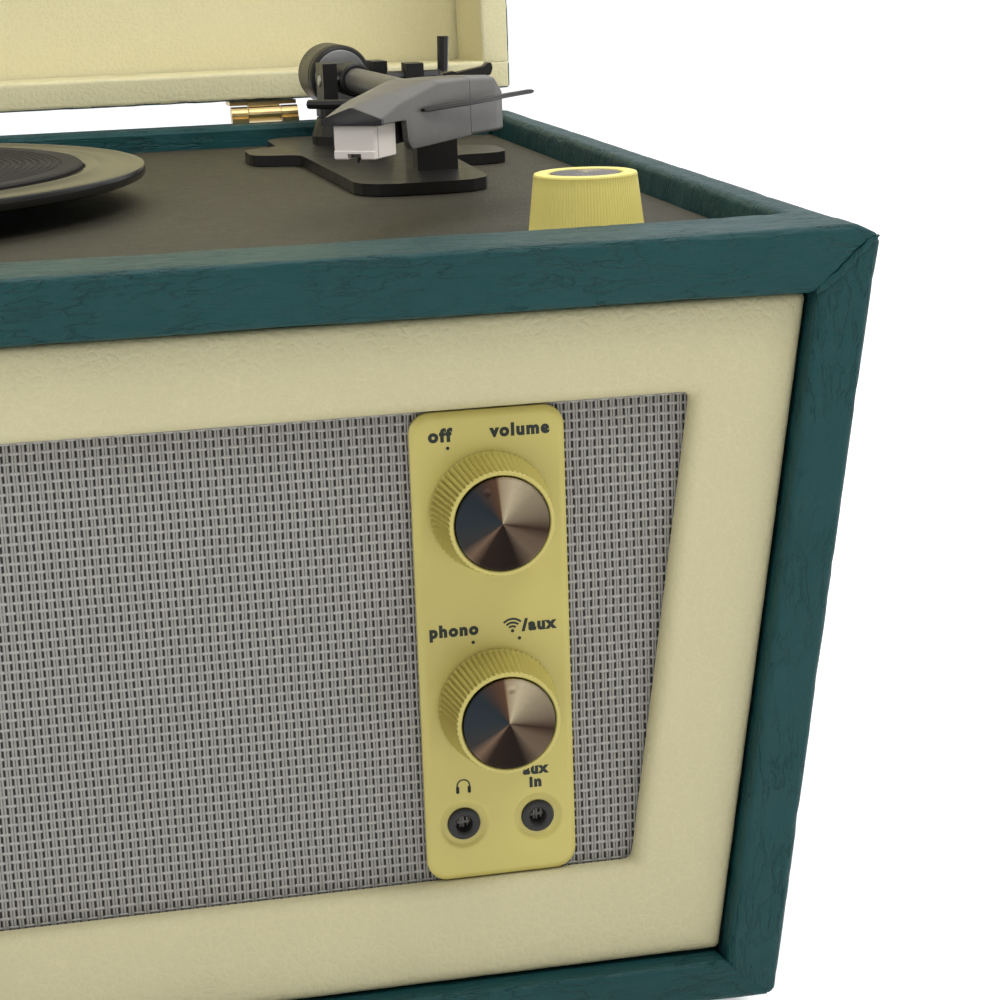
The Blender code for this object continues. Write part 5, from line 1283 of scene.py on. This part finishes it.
ARM_LEAN = -0.0683334
PIVOT = np.array(joint("arm_swing")["pos_m"])
NOSE = (PIVOT[0] - 34 * MM, PIVOT[1] - 224 * MM, PIVOT[2])
HEAD = Matrix.Translation(NOSE) @ Matrix.Rotation(-radians(34), 4, "Z")
ARM = Matrix.Translation(PIVOT) @ Matrix.Rotation(-ARM_LEAN, 4, "Z")
GREY = FINISHES["grey_plastic"]
BLACK = FINISHES["black_plastic"]


def moved(points, matrix):
    matrix = np.array(matrix)
    return np.asarray(points, float) @ matrix[:3, :3].T + matrix[:3, 3]


def oblong(left, right, low, high):
    return [(left, low), (left, high), (right, high), (right, low)]


def section(outline, y):
    """An outline of (across, up) points, stood up at a place along the head."""
    return np.stack([outline[:, 0], np.full(len(outline), y), outline[:, 1]], 1)


def between(stops, count):
    """Values smoothly between rows of (place, values...)."""
    stops = np.array(stops, float)
    places = np.linspace(stops[0, 0], stops[-1, 0], count)
    return np.stack([places] + [np.interp(places, stops[:, 0], stops[:, k]) for k in range(1, stops.shape[1])], 1)


def lofted(name, sections, matrix, body, shade, **more):
    """A closed skin over outlines with the same number of points, closed at both ends."""
    points = moved(np.concatenate(sections), matrix)
    count = len(sections[0])
    faces = strip_faces(len(sections), count, closed_columns=True)
    faces.append(tuple(range(count))[::-1])
    faces.append(tuple(range((len(sections) - 1) * count, len(sections) * count)))
    return piece(name, points, faces, body, shade, **more)


def rounded_outline(corner_list, radii, count=5):
    """An outline whose corners are arcs, as (a, b) pairs."""
    found = []
    size = len(corner_list)
    for i in range(size):
        here, before, after = (np.array(corner_list[k % size], float) for k in (i, i - 1, i + 1))
        r = radii[i] if hasattr(radii, "__len__") else radii
        to_before, to_after = before - here, after - here
        start = here + to_before / np.linalg.norm(to_before) * min(r, np.linalg.norm(to_before) * 0.45)
        stop = here + to_after / np.linalg.norm(to_after) * min(r, np.linalg.norm(to_after) * 0.45)
        for t in np.linspace(0, 1, count):
            found.append((1 - t) ** 2 * start + 2 * t * (1 - t) * here + t * t * stop)
    return np.array(found)


def make_headshell():
    half = 8.5 * MM
    lip = 3.1 * MM
    # place along the head, eaves, ridge, ridge's flat half, skirt of the side walls
    stops = [
        (0, 3.9, 6.8, 0.4, 2.6), (0.8, 4.2, 7.1, 0.5, 2.6), (12, 6.9, 9.0, 1.6, 2.6), (15.6, 7.5, 9.5, 2.2, 2.4),
        (16.2, 7.6, 9.6, 2.3, -5.4), (38, 10.4, 11.4, 6.0, -5.5), (59, 9.9, 10.7, 6.2, -5.5),
    ]
    sections = []
    for y, eave, ridge, flat, skirt in between(stops, 70):
        curve = 8 * MM * max(0, 1 - max(y - 16.2, 0) / 5) ** 3 if y > 16 else 0
        low = skirt * MM + curve * 0.35
        wall = 1.6 * MM
        outline = [
            (-half, low), (-half, eave * MM), (-flat * MM, ridge * MM), (flat * MM, ridge * MM), (half, eave * MM),
            (half, low), (half - wall, low), (half - wall, lip), (wall - half, lip), (wall - half, low),
        ]
        outline = rounded_outline(outline, [0.3 * MM, 0.7 * MM, 0.8 * MM, 0.8 * MM, 0.7 * MM] + [0.3 * MM] * 5, 4)
        sections.append(section(outline, y * MM))
    lofted(
        "headshell_moulding", sections, HEAD, "tonearm", GREY, slot="grey_plastic", replaces=["headshell"], sharp=28
    )
    lip_outline = [
        (-half - 0.1 * MM, 2.5 * MM), (-half - 0.1 * MM, 4.1 * MM), (-0.4 * MM, 7.0 * MM), (0.4 * MM, 7.0 * MM),
        (half + 0.1 * MM, 4.1 * MM), (half + 0.1 * MM, 2.5 * MM),
    ]
    outline = rounded_outline(lip_outline, 0.35 * MM, 4)
    nose = []
    for y, inset in ((-0.35, 0.25), (-0.3, 0.05), (0.0, 0.0), (1.3, 0.0), (1.5, 0.1)):
        at_y = outline * (1 - inset * 0.05)
        nose.append(section(at_y, y * MM))
    lofted("headshell_nose", nose, HEAD, "tonearm", BLACK, slot="black_plastic", sharp=40)


def make_cartridge():
    half = 5.8 * MM
    stops = [(14.9, 0), (15.2, 1), (33.6, 1), (34, 0)]
    sections = []
    for y, full in between(stops, 24):
        inset = 0.3 * MM * (1 - min(1, full))
        box = oblong(-half + inset, half - inset, -3.6 * MM, 2.2 * MM)
        outline = rounded_outline(box, 0.6 * MM, 5)
        sections.append(section(outline, y * MM))
    lofted(
        "cartridge_body", sections, HEAD, "tonearm", BLACK, slot="black_plastic", replaces=["cartridge"], sharp=40
    )


def make_stylus():
    """The stylus holder, with a step across its face, a seam down each side and a notch for the cantilever."""
    half, low, top = 5.8 * MM, -6.3 * MM, 2.3 * MM
    front = 1 * MM
    step = low + 2.3 * MM
    profile = [(14, top), (front / MM, top), (front / MM, step), (front / MM - 0.35, step - 0.25 * MM)]
    profile += [(front / MM - 0.35, low + 0.3 * MM), (front / MM, low), (14, low)]
    side = np.array([(y * MM, z) for y, z in profile])
    columns = []
    notch = 1.9 * MM
    corner, lip = half - 0.25 * MM, notch + 0.05 * MM
    for x in (-half, -corner, -lip, -notch, notch, lip, corner, half):
        inset = 0.25 * MM if abs(x) == half else 0
        outline = side.copy()
        outline[1:6, 0] += inset
        outline[:, 1] = np.clip(outline[:, 1], low + inset, top - inset)
        if abs(x) <= notch:
            outline[4:, 1] = np.maximum(outline[4:, 1], low + 1.5 * MM)
            outline[3, 1] = step - 0.25 * MM
        columns.append(np.stack([np.full(len(outline), x), outline[:, 0], outline[:, 1]], 1))
    lofted(
        "stylus_holder_moulding", columns, HEAD, "tonearm", FINISHES["white_plastic"], slot="white_plastic",
        replaces=["stylus_holder"], sharp=30,
    )
    edge = half + 0.03 * MM
    seam = [(-edge, 3.0 * MM), (edge, 3.0 * MM), (edge, 3.2 * MM), (-edge, 3.2 * MM)]
    lines = [np.array([(x, y, z) for x, y in seam]) for z in (low + 0.35 * MM, top - 0.3 * MM)]
    lofted("stylus_seam", lines, HEAD, "tonearm", GREY, slot="grey_plastic")
    drop = [(12, 2.2), (5, 0.3), (3.4, -0.1), (3.0, -1.0)]
    path = [(0, y * MM, low + z * MM) for y, z in drop]
    curve = moved(smooth_path(path, 24), HEAD)
    tube("stylus_cantilever", curve, np.linspace(0.55 * MM, 0.3 * MM, 24), "tonearm", BLACK, 12, slot="black_plastic")


def smooth_path(points, count):
    """A smooth curve through the points."""
    points = np.asarray(points, float)
    padded = np.vstack([2 * points[0] - points[1], points, 2 * points[-1] - points[-2]])
    found = []
    for t in np.linspace(0, len(points) - 1.0001, count):
        i = int(t)
        u = t - i
        a, b, c, d = padded[i : i + 4]
        square, cube = 2 * a - 5 * b + 4 * c - d, 3 * b - a - 3 * c + d
        found.append(0.5 * (2 * b + (c - a) * u + square * u**2 + cube * u**3))
    return np.array(found)


def make_finger_lift():
    """A thin blade that leaves the head's side and turns away from it."""
    half = 8.8 * MM
    bend = [(0.3, 25), (3.2, 50), (4.3, 70), (6.2, 89)]
    line = smooth_path([(half + x * MM, y * MM) for x, y in bend], 50)
    sections = []
    for index, (x, y) in enumerate(line):
        t = index / (len(line) - 1)
        width = (1.2 + 2.6 * sin(pi * min(t * 1.1, 1)) * (1 - t) + 0.8 * t) * MM
        thick = 0.6 * MM * (1 if 0.02 < t < 0.98 else 0.6)
        box = oblong(x - width / 2, x + width / 2, 4.3 * MM - thick, 4.3 * MM + thick)
        outline = rounded_outline(box, 0.35 * MM, 4)
        sections.append(section(outline, y))
    lofted("finger_lift_blade", sections, HEAD, "tonearm", BLACK, slot="black_plastic", replaces=["finger_lift"])


def make_tube():
    stops = [
        (59.3, -5.5, 9.9, 10.7, 8.5), (78, -6, 8.8, 9.8, 8.5), (83.5, -6, 5, 7, 8.2), (85.6, -5, 1.5, 3.4, 6.8),
        (86.2, -3.5, 0.2, 1.8, 5.0),
    ]
    sections = []
    for y, low, eave, ridge, wide in between(stops, 40):
        flat = max(wide - 2.4, 1)
        box = [(-wide, low), (-wide, eave), (-flat, ridge), (flat, ridge), (wide, eave), (wide, low)]
        box = [(x * MM, z * MM) for x, z in box]
        outline = rounded_outline(box, 0.9 * MM, 5)
        sections.append(section(outline, y * MM))
    lofted("arm_neck_moulding", sections, HEAD, "tonearm", GREY, slot="grey_plastic", sharp=28)
    bend = moved([(0, 72 * MM, 0), (0, 82 * MM, 0)], HEAD)
    rear = moved([(0, -140 * MM, 0), (0, -60 * MM, 0), (0, 0, 0), (0, 37 * MM, 0)], ARM)
    path = smooth_path(np.vstack([bend, rear]), 60)
    tube("arm_tube_drawn", path, 4.2 * MM, "tonearm", GREY, 32, slot="grey_plastic", replaces=["arm_tube"])
    pin = moved([(-12 * MM, 0, 0), (-11.6 * MM, 0, 0), (11.6 * MM, 0, 0), (12 * MM, 0, 0)], ARM)
    tube("arm_trunnion", pin, [1.6 * MM, 2 * MM, 2 * MM, 1.6 * MM], "tonearm", FINISHES["steel"], 24, slot="steel")
    hub = [(2, 8), (5.2, 8), (5.8, 7.2), (5.8, -7.2), (5.2, -8), (2, -8)]
    hub = [(r * MM, z * MM) for r, z in hub]
    lying = ARM @ Matrix.Rotation(pi / 2, 4, "X")
    turned("arm_hub", hub, lying, "tonearm", BLACK, 48, slot="black_plastic", closed=True)


def make_counterweight():
    place = ARM @ Matrix.Rotation(pi / 2, 4, "X")
    radius = 11 * MM
    profile = [(4.5 * MM, -18 * MM), (9.6 * MM, -18 * MM), (10.4 * MM, -18.3 * MM), (radius, -19.2 * MM)]
    profile += [(radius, -22 * MM), (radius - 0.5 * MM, -22.4 * MM), (radius - 0.5 * MM, -22.9 * MM), (radius, -23.3 * MM)]
    profile += [(radius, -40.6 * MM), (radius - 1.2 * MM, -42 * MM), (4.5 * MM, -42 * MM)]

    def knurl(angles, r, h):
        if -40 * MM < h[0] < -30 * MM:
            return r - 0.12 * MM * (0.5 - 0.5 * np.cos(angles * 60)), h
        return r, h

    long = [profile[0]] + profile[1:8] + [(radius, z * MM) for z in (-29.5, -30.5, -39.5)] + profile[8:]
    turned(
        "counterweight_turned", long, place, "tonearm", BLACK, 240, knurl, slot="steel",
        replaces=["counterweight"], closed=True,
    )
    face = [(4.6, -17.9), (9.2, -17.9), (9.4, -18.1), (9.4, -18.6), (4.6, -18.6)]
    face = [(r * MM, z * MM) for r, z in face]
    turned("counterweight_face", face, place, "tonearm", FINISHES["steel"], 96, slot="steel", closed=True)


make_headshell()
make_cartridge()
make_stylus()
make_finger_lift()
make_tube()
make_counterweight()
